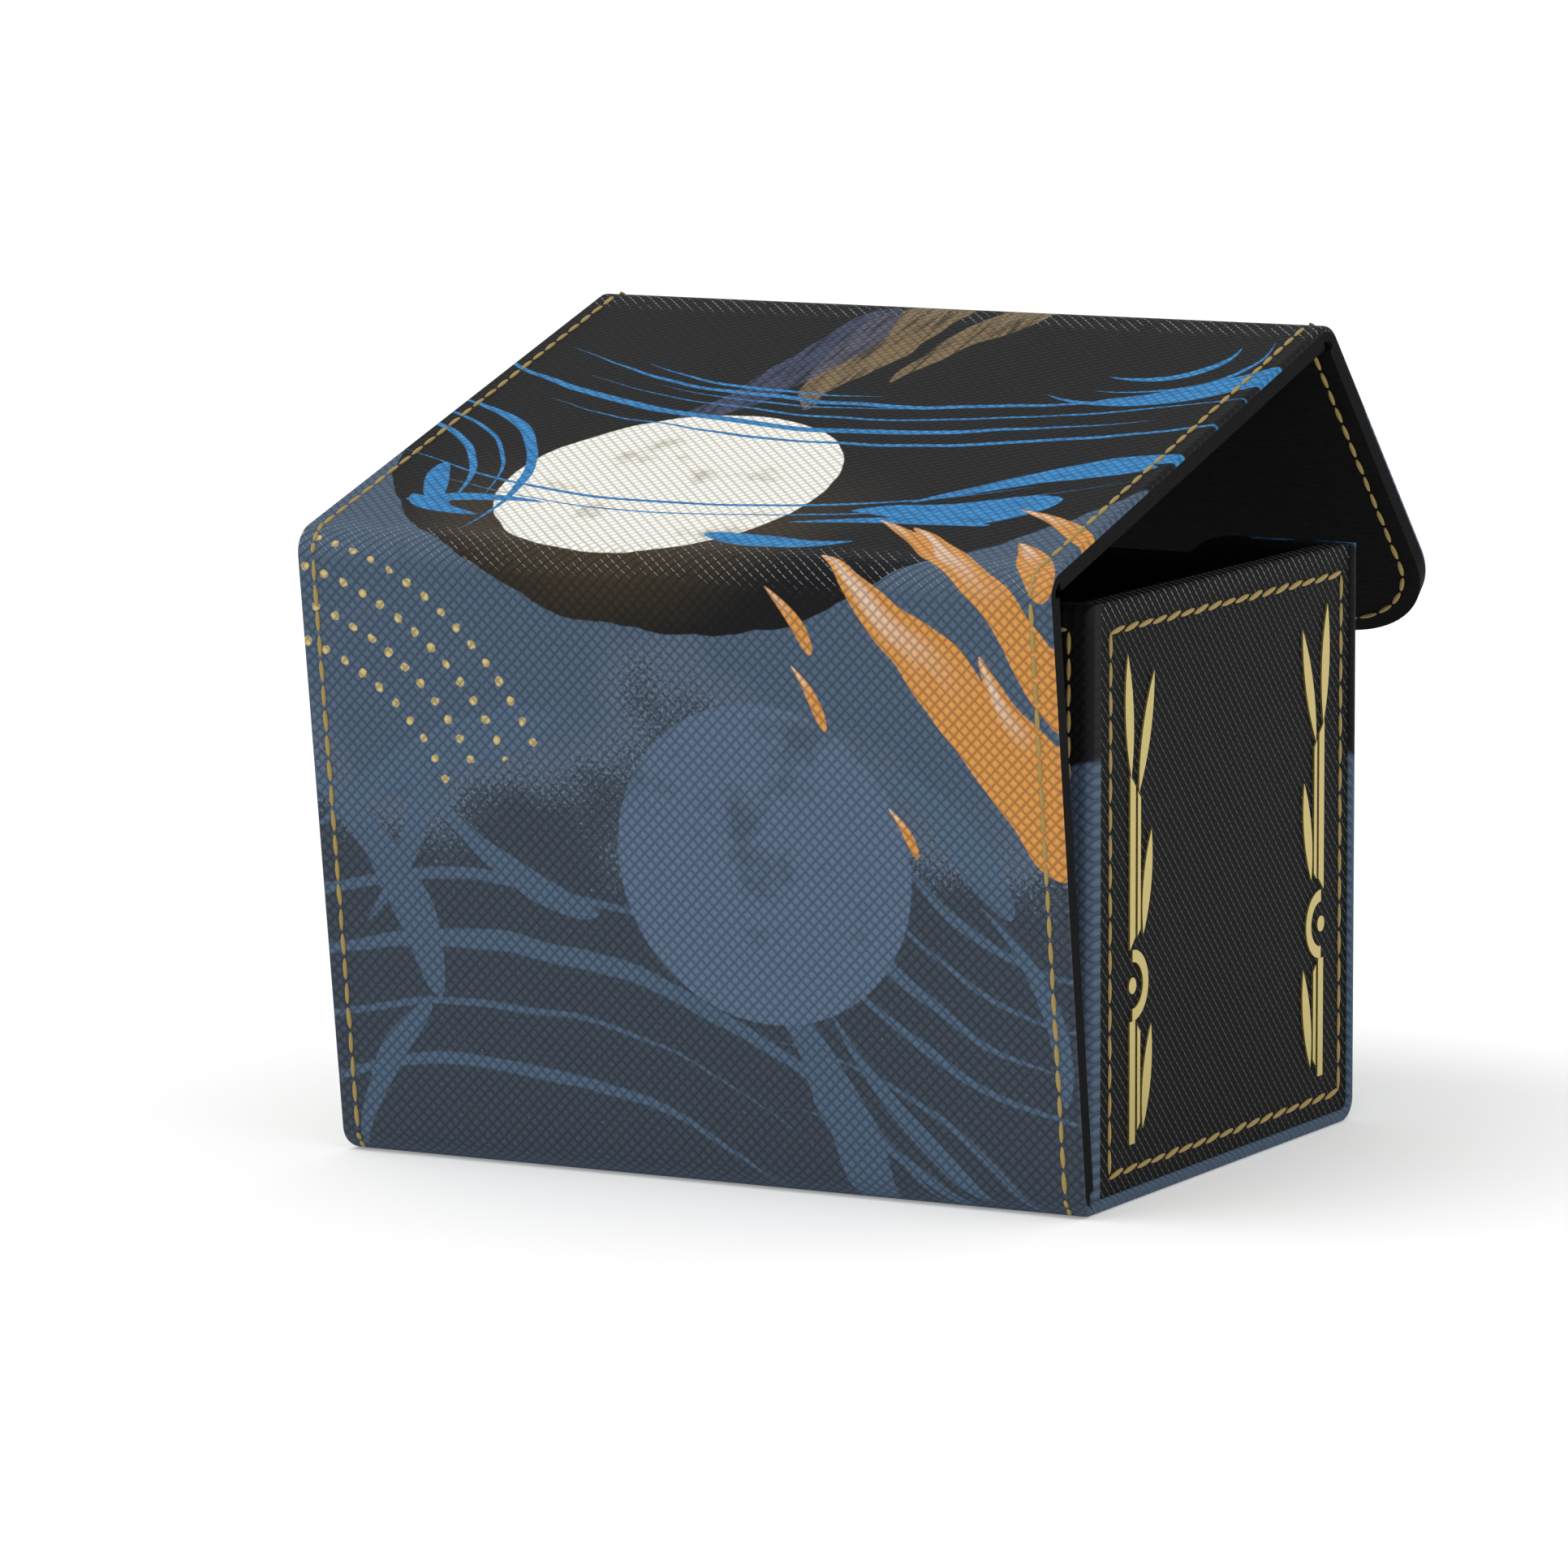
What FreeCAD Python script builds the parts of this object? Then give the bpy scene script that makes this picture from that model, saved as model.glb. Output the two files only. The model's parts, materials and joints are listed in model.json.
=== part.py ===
"""Card deck box: an open storage body wrapped by a one-piece hinged cover (front cover, lid, flap).

Frame: millimetres, +X right, +Y to the back, +Z up. The origin is the middle of the underside.
Every cover panel is drawn in the closed position and then opened about its hinge axes.
"""
import FreeCAD, Part
import math
import os

from FreeCAD import Vector

os.makedirs("parts", exist_ok=True)

# ---------------------------------------------------------------- driving sizes
cover_width = 103.0          # front cover, lid and flap
base_depth = 78.0            # underside strip, front fold to rear face
body_height = 73.5           # top edge of the four walls
panel_thickness = 2.8        # front cover, lid and flap
strip_thickness = 1.6        # underside and rear strip of the covering
flap_length = 56.5           # flap, from the rear top fold to its lower edge
flap_corner_radius = 14.0
strip_inset = 0.4            # underside strip narrower than the cover, each side
wall_inset = 0.5             # body walls narrower than the underside strip, each side
cover_gap = 0.6              # front wall to the inside of the closed cover
flap_gap = 2.0               # rear wall to the inside of the closed flap
lid_gap = 2.9                # top of the walls to the inside of the closed lid

leather = 0.7                # covering leather
lining = 0.5                 # inner cloth
edge_band = 0.6              # cloth turned round the edge of a cover board
wall_board = 2.0             # board inside the front, end and floor panels
rear_board_thickness = 1.8
turn_over = 0.8              # leather turned over the top of a wall
cover_edge_radius = 0.6
wall_edge_radius = 1.2
bead_radius = 0.7            # rounded side edges of the underside strip
rear_corner_radius = 3.0

notch_depth = 2.4            # shallow finger notch in the rear wall
notch_floor = 55.0
notch_shoulder = 6.0

hinge_inset = 0.9            # hinge axis from both outer faces of the closed cover
fold_relief = 0.3            # closed panel ends kept apart at the inside of a fold
hinge_leather = 1.2          # folding strip between two panels

cover_tilt = 7.4             # degrees from closed at rest
lid_lift = 9.5
flap_lift = 25.2

stitch_inset = 2.4           # stitch line from the edge of a panel
thread_width = 0.6
thread_height = 0.25

magnet_radius = 5.0
magnet_thickness = 1.0
magnet_spacing = 50.0
magnet_drop = 38.0           # magnets below the rear top fold, closed

foil_thickness = 0.25
foil_inset = 7.5             # foil stem from the front and rear edges of the end panel
foil_bottom = 7.0
foil_top_gap = 6.5
foil_bar = 1.5               # width of the stem
foil_slim = 0.8              # width of the slim bar beside it
foil_leaf = 2.2              # width of a leaf
foil_leaf_length = 15.0
foil_ring = 3.6              # middle radius of the half ring round the dot
foil_dot = 1.0

# ---------------------------------------------------------------- places worked out from the sizes
FRONT = -base_depth / 2
REAR = FRONT + base_depth
FOLD = panel_thickness + fold_relief
CLOSED_REAR = REAR + flap_gap + panel_thickness
closed_height = body_height + lid_gap + panel_thickness
cover_half = cover_width / 2
strip_half = cover_half - strip_inset
wall_half = strip_half - wall_inset
wall_front = FRONT + panel_thickness + cover_gap
front_wall_back = wall_front + leather + wall_board
rear_board_back = REAR - strip_thickness
rear_board_front = rear_board_back - rear_board_thickness
end_board_outer = wall_half - leather
end_board_inner = end_board_outer - wall_board
lining_half = end_board_inner - lining
floor_low = strip_thickness
floor_top = floor_low + wall_board
board_top = body_height - turn_over
X_AXIS = Vector(1, 0, 0)


# ---------------------------------------------------------------- helpers
def box(x0, x1, y0, y1, z0, z1):
    """Box between two corners."""
    return Part.makeBox(x1 - x0, y1 - y0, z1 - z0, Vector(x0, y0, z0))


def face_of(edges):
    """Flat face bounded by edges in order."""
    return Part.Face(Part.Wire(edges))


def line(a, b):
    """Straight edge between two points."""
    return Part.LineSegment(Vector(*a), Vector(*b)).toShape()


def arc(a, mid, b):
    """Circular edge through three points."""
    return Part.Arc(Vector(*a), Vector(*mid), Vector(*b)).toShape()


def round_edges(shape, radius, wanted):
    """Shape with the wanted edges rounded."""
    edges = [e for e in shape.Edges if wanted(e)]
    return shape.makeFillet(radius, edges)


def runs_along(edge, axis):
    """True when a straight edge is parallel to axis 0, 1 or 2."""
    if edge.Curve.TypeId != "Part::GeomLine":
        return False
    step = edge.Vertexes[-1].Point - edge.Vertexes[0].Point
    return abs(abs(step[axis]) - step.Length) < 1e-6


def save(node, shapes):
    """Write one node from a shape or a list of separate solids."""
    shape = Part.makeCompound(shapes) if isinstance(shapes, list) else shapes
    shape.exportStep(f"parts/{node}.step")


def turned(shape, pivot, degrees):
    """Copy turned about the X direction through pivot, positive opening the cover."""
    copy = shape.copy()
    copy.rotate(Vector(0, pivot[0], pivot[1]), X_AXIS, degrees)
    return copy


# ---------------------------------------------------------------- hinge axes and opening
BOTTOM_AXIS = (FRONT + hinge_inset, hinge_inset)
LID_AXIS = (FRONT + hinge_inset, closed_height - hinge_inset)
FLAP_AXIS = (CLOSED_REAR - hinge_inset, closed_height - hinge_inset)


def open_cover(shape, lift=cover_tilt):
    """Front cover from closed to its rest tilt."""
    return turned(shape, BOTTOM_AXIS, lift)


def open_lid(shape):
    """Lid from closed to its rest lift."""
    return open_cover(turned(shape, LID_AXIS, lid_lift))


def open_flap(shape):
    """Flap from closed to its rest lift."""
    return open_lid(turned(shape, FLAP_AXIS, flap_lift))


# ---------------------------------------------------------------- body: covering strip and rear wall
def notch_profile(half, top, low, y):
    """Face in the XZ plane at y: a wall with the shallow notch in its top edge."""
    notch_low = top - notch_depth
    middle = top - notch_depth / 2
    radius = (notch_shoulder ** 2 + notch_depth ** 2) / (4 * notch_depth)
    sweep = math.asin(notch_shoulder / 2 / radius)
    x_low = notch_floor / 2
    x_high = x_low + notch_shoulder
    dx = radius * math.sin(sweep / 2)
    dz = radius * (1 - math.cos(sweep / 2))

    def shoulder(side):
        lower = arc((side * x_low, y, notch_low), (side * (x_low + dx), y, notch_low + dz),
                    (side * (x_low + notch_shoulder / 2), y, middle))
        upper = arc((side * (x_low + notch_shoulder / 2), y, middle),
                    (side * (x_high - dx), y, top - dz), (side * x_high, y, top))
        return [lower, upper]

    left = shoulder(-1)
    right = shoulder(1)
    edges = [line((-half, y, low), (half, y, low)), line((half, y, low), (half, y, top)),
             line((half, y, top), (x_high, y, top)), right[1], right[0],
             line((x_low, y, notch_low), (-x_low, y, notch_low)), left[0], left[1],
             line((-x_high, y, top), (-half, y, top)), line((-half, y, top), (-half, y, low))]
    return face_of(Part.sortEdges(edges)[0])


def rear_wall_slab(half, top, low, y0, y1):
    """Solid of the notched wall between two Y planes."""
    return notch_profile(half, top, low, y0).extrude(Vector(0, y1 - y0, 0))


def covering_strip():
    """Leather strip under the body and up the rear wall, turned over the rear wall's edges."""
    outer = rear_corner_radius
    inner = outer - strip_thickness
    k = math.sqrt(0.5)
    yc = REAR - outer
    join = outer + 1.0
    profile = [
        line((-strip_half, FRONT + FOLD, 0), (-strip_half, yc, 0)),
        arc((-strip_half, yc, 0), (-strip_half, yc + outer * k, outer - outer * k), (-strip_half, REAR, outer)),
        line((-strip_half, REAR, outer), (-strip_half, REAR, join)),
        line((-strip_half, REAR, join), (-strip_half, rear_board_back, join)),
        line((-strip_half, rear_board_back, join), (-strip_half, rear_board_back, outer)),
        arc((-strip_half, rear_board_back, outer), (-strip_half, yc + inner * k, outer - inner * k),
            (-strip_half, yc, strip_thickness)),
        line((-strip_half, yc, strip_thickness), (-strip_half, FRONT + FOLD, strip_thickness)),
        line((-strip_half, FRONT + FOLD, strip_thickness), (-strip_half, FRONT + FOLD, 0)),
    ]
    base = face_of(profile).extrude(Vector(2 * strip_half, 0, 0))
    base = round_edges(base, bead_radius, lambda e: abs(abs(e.CenterOfMass.x) - strip_half) < 1e-6
                       and not on_end(e, join))
    upper = rear_wall_slab(strip_half, body_height, join, rear_board_back, REAR)
    upper = round_edges(upper, bead_radius, lambda e: runs_along(e, 2) or on_rear_top(e))
    lip = rear_wall_slab(end_board_outer, body_height, join, rear_board_front, rear_board_back)
    lip = lip.cut(rear_wall_slab(end_board_outer, board_top, join, rear_board_front, rear_board_back))
    return base.fuse([upper, lip]).removeSplitter()


def on_end(edge, join):
    """True for the strip's cut ends, which stay square."""
    centre = edge.CenterOfMass
    at_front = abs(centre.y - FRONT - FOLD) < 1e-6
    return at_front or abs(centre.z - join) < 1e-6


def on_rear_top(edge):
    """True for the notched top edge of the strip's outer face."""
    centre = edge.CenterOfMass
    return abs(centre.y - REAR) < 1e-6 and centre.z > body_height - notch_depth - 1e-6


def rear_board():
    """Stiff board inside the rear wall with pockets for the magnets."""
    slab = rear_wall_slab(end_board_outer, board_top, rear_corner_radius, rear_board_front, rear_board_back)
    return slab.cut(Part.makeCompound(rear_magnets()))


def rear_magnets():
    """Magnets let into the outer face of the rear board, opposite the flap's own."""
    z = closed_height - magnet_drop
    return [Part.makeCylinder(magnet_radius, magnet_thickness, Vector(s * magnet_spacing / 2, rear_board_back, z),
                              Vector(0, -1, 0)) for s in (-1, 1)]


def front_wall():
    """Board, wrapped leather and lining of the front wall."""
    outline = box(-wall_half, wall_half, wall_front, front_wall_back, floor_low, body_height)
    front_edges = round_edges(outline, wall_edge_radius, lambda e: abs(e.CenterOfMass.y - wall_front) < 1e-6
                              and e.CenterOfMass.z > floor_low + 1e-6)
    board = box(-end_board_outer, end_board_outer, wall_front + leather, front_wall_back, floor_low, board_top)
    inner = box(-lining_half, lining_half, front_wall_back, front_wall_back + lining, floor_top, board_top)
    return board, front_edges.cut(board), inner


def end_wall(side):
    """Board, wrapped leather and lining of one end; side is -1 left or 1 right."""
    def span(a, b, y0, y1, z0, z1):
        return box(min(side * a, side * b), max(side * a, side * b), y0, y1, z0, z1)

    board = span(end_board_inner, end_board_outer, front_wall_back, rear_board_front, floor_low, board_top)
    shell = span(end_board_inner, wall_half, front_wall_back, rear_board_front, floor_low, body_height)
    tail = span(end_board_outer, wall_half, rear_board_front, rear_board_back, floor_low, body_height)
    tail = round_edges(tail, rear_corner_radius - strip_thickness, lambda e: runs_along(e, 0)
                       and e.CenterOfMass.z < floor_low + 1e-6 and e.CenterOfMass.y > rear_board_back - 1e-6)
    shell = shell.fuse(tail).removeSplitter()
    shell = round_edges(shell, wall_edge_radius - leather, lambda e: runs_along(e, 1)
                        and abs(abs(e.CenterOfMass.x) - wall_half) < 1e-6 and e.CenterOfMass.z > board_top)
    inner = span(lining_half, end_board_inner, front_wall_back, rear_board_front, floor_top, board_top)
    return board, shell.cut(board), inner


def floor_panel():
    """Floor board between the walls and its lining."""
    board = box(-end_board_inner, end_board_inner, front_wall_back, rear_board_front, floor_low, floor_top)
    low_y = front_wall_back + lining
    high_y = rear_board_front - lining
    cloth = box(-lining_half, lining_half, low_y, high_y, floor_top, floor_top + lining)
    return board, cloth


def rear_lining():
    """Cloth on the inside of the rear board, with the same notch."""
    return rear_wall_slab(lining_half, board_top, floor_top, rear_board_front - lining, rear_board_front)


# ---------------------------------------------------------------- stitching
def thread_path(points, normal_axis, level, outward):
    """Thread laid along a run of straight stretches on a flat face, as one solid a stretch."""
    runs = []
    for a, b in zip(points, points[1:]):
        direction = [abs(b[0] - a[0]) > 1e-9, abs(b[1] - a[1]) > 1e-9]
        half = thread_width / 2
        trim = [0 if moving else half for moving in direction]
        gap = [half if moving else 0 for moving in direction]
        u = sorted((a[0], b[0]))
        v = sorted((a[1], b[1]))
        lows = (u[0] - trim[0] + gap[0], v[0] - trim[1] + gap[1])
        highs = (u[1] + trim[0] - gap[0], v[1] + trim[1] - gap[1])
        near, far = sorted((level, level + outward * thread_height))
        if normal_axis == "x":
            runs.append(box(near, far, lows[0], highs[0], lows[1], highs[1]))
        elif normal_axis == "y":
            runs.append(box(lows[0], highs[0], near, far, lows[1], highs[1]))
        else:
            runs.append(box(lows[0], highs[0], lows[1], highs[1], near, far))
    return runs


def end_stitching(side):
    """Rectangular loop of thread on one end panel."""
    y0, y1 = front_wall_back + stitch_inset, rear_board_back - stitch_inset
    z0, z1 = floor_low + stitch_inset, body_height - stitch_inset - wall_edge_radius
    loop = [(y0, z0), (y1, z0), (y1, z1), (y0, z1), (y0, z0)]
    return thread_path(loop, "x", side * wall_half, side)


def front_wall_stitching():
    """Thread down both sides and along the top of the front wall."""
    x = wall_half - wall_edge_radius - stitch_inset + thread_width
    top = body_height - wall_edge_radius - stitch_inset + thread_width
    run = [(-x, floor_low + stitch_inset), (-x, top), (x, top), (x, floor_low + stitch_inset)]
    return thread_path(run, "y", wall_front, -1)


# ---------------------------------------------------------------- cover panels, drawn closed
def panel(u0, u1, place):
    """Leather, board and lining of a rectangular cover panel, by place(depth0, depth1, u0, u1, half)."""
    skin = place(0, leather, u0, u1, cover_half)
    tray = place(leather, panel_thickness, u0, u1, cover_half)
    board = place(leather, panel_thickness - lining, u0 + edge_band, u1 - edge_band, cover_half - edge_band)
    return skin, board, tray.cut(board)


def place_front(d0, d1, u0, u1, half):
    """Box of the front cover: depth inwards from the front face, u up from the floor."""
    return box(-half, half, FRONT + d0, FRONT + d1, u0, u1)


def place_lid(d0, d1, u0, u1, half):
    """Box of the lid: depth down from the top face, u back from the front face."""
    return box(-half, half, FRONT + u0, FRONT + u1, closed_height - d1, closed_height - d0)


def round_skin(skin, level_axis, level):
    """Side edges of a panel's leather rounded on the outer face."""
    def wanted(edge):
        centre = edge.CenterOfMass
        return abs(abs(centre.x) - cover_half) < 1e-6 and abs(centre[level_axis] - level) < 1e-6
    return round_edges(skin, cover_edge_radius, wanted)


def flap_outline(half, top, bottom, radius, y):
    """Flap face in the XZ plane with two large lower corners."""
    k = radius * (1 - math.sqrt(0.5))
    edges = [
        line((-half, y, top), (half, y, top)),
        line((half, y, top), (half, y, bottom + radius)),
        arc((half, y, bottom + radius), (half - k, y, bottom + k), (half - radius, y, bottom)),
        line((half - radius, y, bottom), (-half + radius, y, bottom)),
        arc((-half + radius, y, bottom), (-half + k, y, bottom + k), (-half, y, bottom + radius)),
        line((-half, y, bottom + radius), (-half, y, top)),
    ]
    return face_of(edges)


def flap_slab(d0, d1, inset):
    """Flap solid between two depths inwards from its outer face, drawn in by inset all round."""
    y = CLOSED_REAR - d0
    top = closed_height - FOLD - inset
    bottom = closed_height - flap_length + inset
    face = flap_outline(cover_half - inset, top, bottom, flap_corner_radius - inset, y)
    return face.extrude(Vector(0, d0 - d1, 0))


def flap_magnets():
    """Magnets let into the inner face of the flap board."""
    z = closed_height - magnet_drop
    y = CLOSED_REAR - panel_thickness + lining
    return [Part.makeCylinder(magnet_radius, magnet_thickness, Vector(s * magnet_spacing / 2, y, z), Vector(0, 1, 0))
            for s in (-1, 1)]


def flap_panel():
    """Leather, board and lining of the flap."""
    skin = flap_slab(0, leather, 0)
    skin = round_edges(skin, cover_edge_radius, lambda e: abs(e.CenterOfMass.y - CLOSED_REAR) < 1e-6
                       and e.CenterOfMass.z < closed_height - FOLD - 1e-6)
    board = flap_slab(leather, panel_thickness - lining, edge_band)
    tray = flap_slab(leather, panel_thickness, 0).cut(board)
    return skin, board.cut(Part.makeCompound(flap_magnets())), tray


def flap_stitching():
    """Thread down both straight sides and along the lower edge of the flap's outer face."""
    x = cover_half - stitch_inset
    low = closed_height - flap_length + stitch_inset
    high = closed_height - FOLD
    shoulder = closed_height - flap_length + flap_corner_radius
    runs = []
    for side in (-1, 1):
        runs += thread_path([(side * x, shoulder), (side * x, high)], "y", CLOSED_REAR, 1)
    end = cover_half - flap_corner_radius
    runs += thread_path([(-end, low), (end, low)], "y", CLOSED_REAR, 1)
    radius = flap_corner_radius - stitch_inset
    for side in (-1, 1):
        runs.append(corner_thread(side * end, shoulder, radius, side))
    return runs


def corner_thread(x, z, radius, side):
    """Quarter ring of thread round one lower corner of the flap."""
    centre = Vector(x, CLOSED_REAR, z)
    outer = Part.makeCylinder(radius + thread_width / 2, thread_height, centre, Vector(0, 1, 0))
    ring = outer.cut(Part.makeCylinder(radius - thread_width / 2, thread_height, centre, Vector(0, 1, 0)))
    reach = radius + thread_width
    x0, x1 = sorted((x, x + side * reach))
    return ring.common(box(x0, x1, CLOSED_REAR, CLOSED_REAR + thread_height, z - reach, z))


# ---------------------------------------------------------------- folding strips
def fold_strip(outer_a, inward_a, outer_b, inward_b):
    """Leather folding between two panel ends, bulging round the corner as an arc."""
    def at(point, inward, depth):
        return Vector(-cover_half, point[0] + inward[0] * depth, point[1] + inward[1] * depth)

    bisector = (-(inward_a[0] + inward_b[0]), -(inward_a[1] + inward_b[1]))
    size = math.hypot(*bisector)
    bisector = (bisector[0] / size, bisector[1] / size)
    turn = math.acos(max(-1.0, min(1.0, inward_a[0] * inward_b[0] + inward_a[1] * inward_b[1])))

    def bulge(a, b):
        rise = (b - a).Length / 2 * math.tan(turn / 4)
        middle = (a + b) / 2
        return Vector(-cover_half, middle.y + bisector[0] * rise, middle.z + bisector[1] * rise)

    a0, b0 = at(outer_a, inward_a, 0), at(outer_b, inward_b, 0)
    a1, b1 = at(outer_a, inward_a, hinge_leather), at(outer_b, inward_b, hinge_leather)
    edges = [arc(a0, bulge(a0, b0), b0), line(b0, b1), arc(b1, bulge(a1, b1), a1), line(a1, a0)]
    return face_of(edges).extrude(Vector(2 * cover_half, 0, 0))


def placed_point(point, moves):
    """YZ point after the given opening turns, each (axis, degrees)."""
    y, z = point
    for (py, pz), degrees in moves:
        a = math.radians(degrees)
        dy, dz = y - py, z - pz
        y, z = py + dy * math.cos(a) - dz * math.sin(a), pz + dy * math.sin(a) + dz * math.cos(a)
    return y, z


def placed_direction(direction, moves):
    """YZ direction after the given opening turns."""
    start = placed_point((0, 0), moves)
    end = placed_point(direction, moves)
    return end[0] - start[0], end[1] - start[1]


COVER_MOVES = [(BOTTOM_AXIS, cover_tilt)]
LID_MOVES = [(LID_AXIS, lid_lift)] + COVER_MOVES
FLAP_MOVES = [(FLAP_AXIS, flap_lift)] + LID_MOVES


def panel_end(point, inward, moves):
    """Outer corner and inward direction of a panel's end at rest."""
    return placed_point(point, moves), placed_direction(inward, moves)


def folding_strips():
    """The three folding strips at rest: cover, lid and flap."""
    base_end = panel_end((FRONT + FOLD, 0), (0, 1), [])
    cover_low = panel_end((FRONT, FOLD), (1, 0), COVER_MOVES)
    cover_high = panel_end((FRONT, closed_height - FOLD), (1, 0), COVER_MOVES)
    lid_front = panel_end((FRONT + FOLD, closed_height), (0, -1), LID_MOVES)
    lid_rear = panel_end((CLOSED_REAR - FOLD, closed_height), (0, -1), LID_MOVES)
    flap_high = panel_end((CLOSED_REAR, closed_height - FOLD), (-1, 0), FLAP_MOVES)
    return (fold_strip(*base_end, *cover_low), fold_strip(*cover_high, *lid_front),
            fold_strip(*lid_rear, *flap_high))


# ---------------------------------------------------------------- foil ornaments
def raised(edges, side):
    """Foil solid on an end panel from edges that bound a flat outline."""
    return face_of(edges).extrude(Vector(side * foil_thickness, 0, 0))


def foil_ornament(side, stem_y, inward):
    """Reed ornament: a stem with slim bars, leaning leaves and a half ring round a dot.

    stem_y is the stem's edge nearest the panel's own edge, and inward is the way to the panel's middle.
    """
    x = side * wall_half
    low = foil_bottom
    high = body_height - foil_top_gap
    reach = foil_ring + foil_bar / 2
    ring_z = low + foil_leaf_length + reach

    def at(offset, z):
        return (x, stem_y + inward * offset, z)

    def bar(offset, width, z0, z1, slant):
        """Upright bar with slanted ends."""
        corners = [at(offset, z0), at(offset + width, z0 + slant), at(offset + width, z1), at(offset, z1 + slant)]
        return raised([line(p, q) for p, q in zip(corners, corners[1:] + corners[:1])], side)

    def leaf(offset, z0, length, lean, width):
        """Pointed leaf between two arcs, leaning inward by lean degrees."""
        a = math.radians(lean)
        tip = (offset + length * math.sin(a), z0 + length * math.cos(a))
        mid = ((offset + tip[0]) / 2, (z0 + tip[1]) / 2)
        half = width / 2
        near = at(mid[0] - half * math.cos(a), mid[1] + half * math.sin(a))
        far = at(mid[0] + half * math.cos(a), mid[1] - half * math.sin(a))
        return raised([arc(at(offset, z0), near, at(*tip)), arc(at(*tip), far, at(offset, z0))], side)

    def half_ring(offset, z):
        """Half ring bulging inward."""
        outer, inner = foil_ring + foil_bar / 2, foil_ring - foil_bar / 2
        edges = [arc(at(offset, z - outer), at(offset + outer, z), at(offset, z + outer)),
                 line(at(offset, z + outer), at(offset, z + inner)),
                 arc(at(offset, z + inner), at(offset + inner, z), at(offset, z - inner)),
                 line(at(offset, z - inner), at(offset, z - outer))]
        return raised(edges, side)

    slim = foil_bar * 1.4
    leaf_foot = foil_bar * 1.9
    crown = high - foil_leaf_length
    upper = ring_z + reach + foil_bar
    dot = Part.makeCylinder(foil_dot, foil_thickness, Vector(*at(foil_bar / 2, ring_z)), Vector(side, 0, 0))
    return [
        bar(0, foil_bar, low, ring_z - reach, 0),
        half_ring(foil_bar / 2, ring_z),
        dot,
        bar(0, foil_bar, ring_z + reach, crown - foil_bar, foil_bar),
        bar(slim, foil_slim, low + foil_bar, ring_z - reach - foil_bar, foil_slim),
        bar(slim, foil_slim, upper, crown - 2 * foil_bar, foil_slim),
        leaf(leaf_foot + foil_slim, low + foil_bar, foil_leaf_length * 0.85, 10, foil_leaf),
        leaf(leaf_foot + foil_slim, upper, foil_leaf_length * 0.85, 10, foil_leaf),
        leaf(foil_bar * 0.2, crown - foil_bar * 0.2, foil_leaf_length, -4, foil_leaf),
        leaf(foil_bar * 1.6, crown - foil_bar * 1.6, foil_leaf_length, 16, foil_leaf),
    ]


def foil_pair(side):
    """Two mirrored ornaments on one end panel."""
    front = foil_ornament(side, front_wall_back + foil_inset, 1)
    rear = foil_ornament(side, rear_board_back - foil_inset, -1)
    return front + rear


# ---------------------------------------------------------------- write every node
def write_body():
    """Nodes of the fixed body."""
    save("covering_strip", covering_strip())
    save("rear_board", rear_board())
    save("rear_magnets", rear_magnets())
    save("rear_lining", rear_lining())
    board, skin, cloth = front_wall()
    save("front_wall_board", board)
    save("front_wall_leather", skin)
    save("front_wall_lining", cloth)
    save("front_wall_stitching", front_wall_stitching())
    for name, side in (("left", -1), ("right", 1)):
        board, skin, cloth = end_wall(side)
        save(f"{name}_end_board", board)
        save(f"{name}_end_leather", skin)
        save(f"{name}_end_lining", cloth)
        save(f"{name}_end_stitching", end_stitching(side))
        save(f"{name}_end_foil", foil_pair(side))
    board, cloth = floor_panel()
    save("floor_board", board)
    save("floor_lining", cloth)


def side_threads(place_axis, u0, u1, level, outward):
    """Two straight runs of thread near the side edges of a cover panel."""
    runs = []
    for side in (-1, 1):
        x = side * (cover_half - stitch_inset)
        runs += thread_path([(x, u0), (x, u1)], place_axis, level, outward)
    return runs


def write_cover():
    """Nodes of the front cover, lid and flap at rest."""
    skin, board, cloth = panel(FOLD, closed_height - FOLD, place_front)
    save("cover_leather", open_cover(round_skin(skin, 1, FRONT)))
    save("cover_board", open_cover(board))
    save("cover_lining", open_cover(cloth))
    threads = side_threads("y", FOLD, closed_height - FOLD, FRONT, -1)
    save("cover_stitching", [open_cover(t) for t in threads])

    lid_depth = CLOSED_REAR - FRONT
    skin, board, cloth = panel(FOLD, lid_depth - FOLD, place_lid)
    save("lid_leather", open_lid(round_skin(skin, 2, closed_height)))
    save("lid_board", open_lid(board))
    save("lid_lining", open_lid(cloth))
    threads = side_threads("z", FRONT + FOLD, CLOSED_REAR - FOLD, closed_height, 1)
    save("lid_stitching", [open_lid(t) for t in threads])

    skin, board, cloth = flap_panel()
    save("flap_leather", open_flap(skin))
    save("flap_board", open_flap(board))
    save("flap_lining", open_flap(cloth))
    save("flap_magnets", [open_flap(m) for m in flap_magnets()])
    save("flap_stitching", [open_flap(t) for t in flap_stitching()])

    for name, strip in zip(("cover_fold", "lid_fold", "flap_fold"), folding_strips()):
        save(name, strip)


write_body()
write_cover()
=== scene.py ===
"""Looks of the card deck box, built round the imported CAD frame.

The CAD nodes give the boards, leathers and linings. This script adds the folding leather and edge bands that
bend at the three folds, the single stitches of every seam, the printed and woven finishes, the floor, the
lights and the camera. Lengths are metres unless a name ends in _mm; the print's coordinates, pitches and sizes
are millimetres: x to the right, v up the front cover, back over the lid and down the flap.
"""

import json
import logging
import math
from dataclasses import dataclass
from enum import Enum
from typing import Callable, Optional, Sequence

import bmesh
import bpy
from mathutils import Euler, Matrix, Vector


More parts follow.
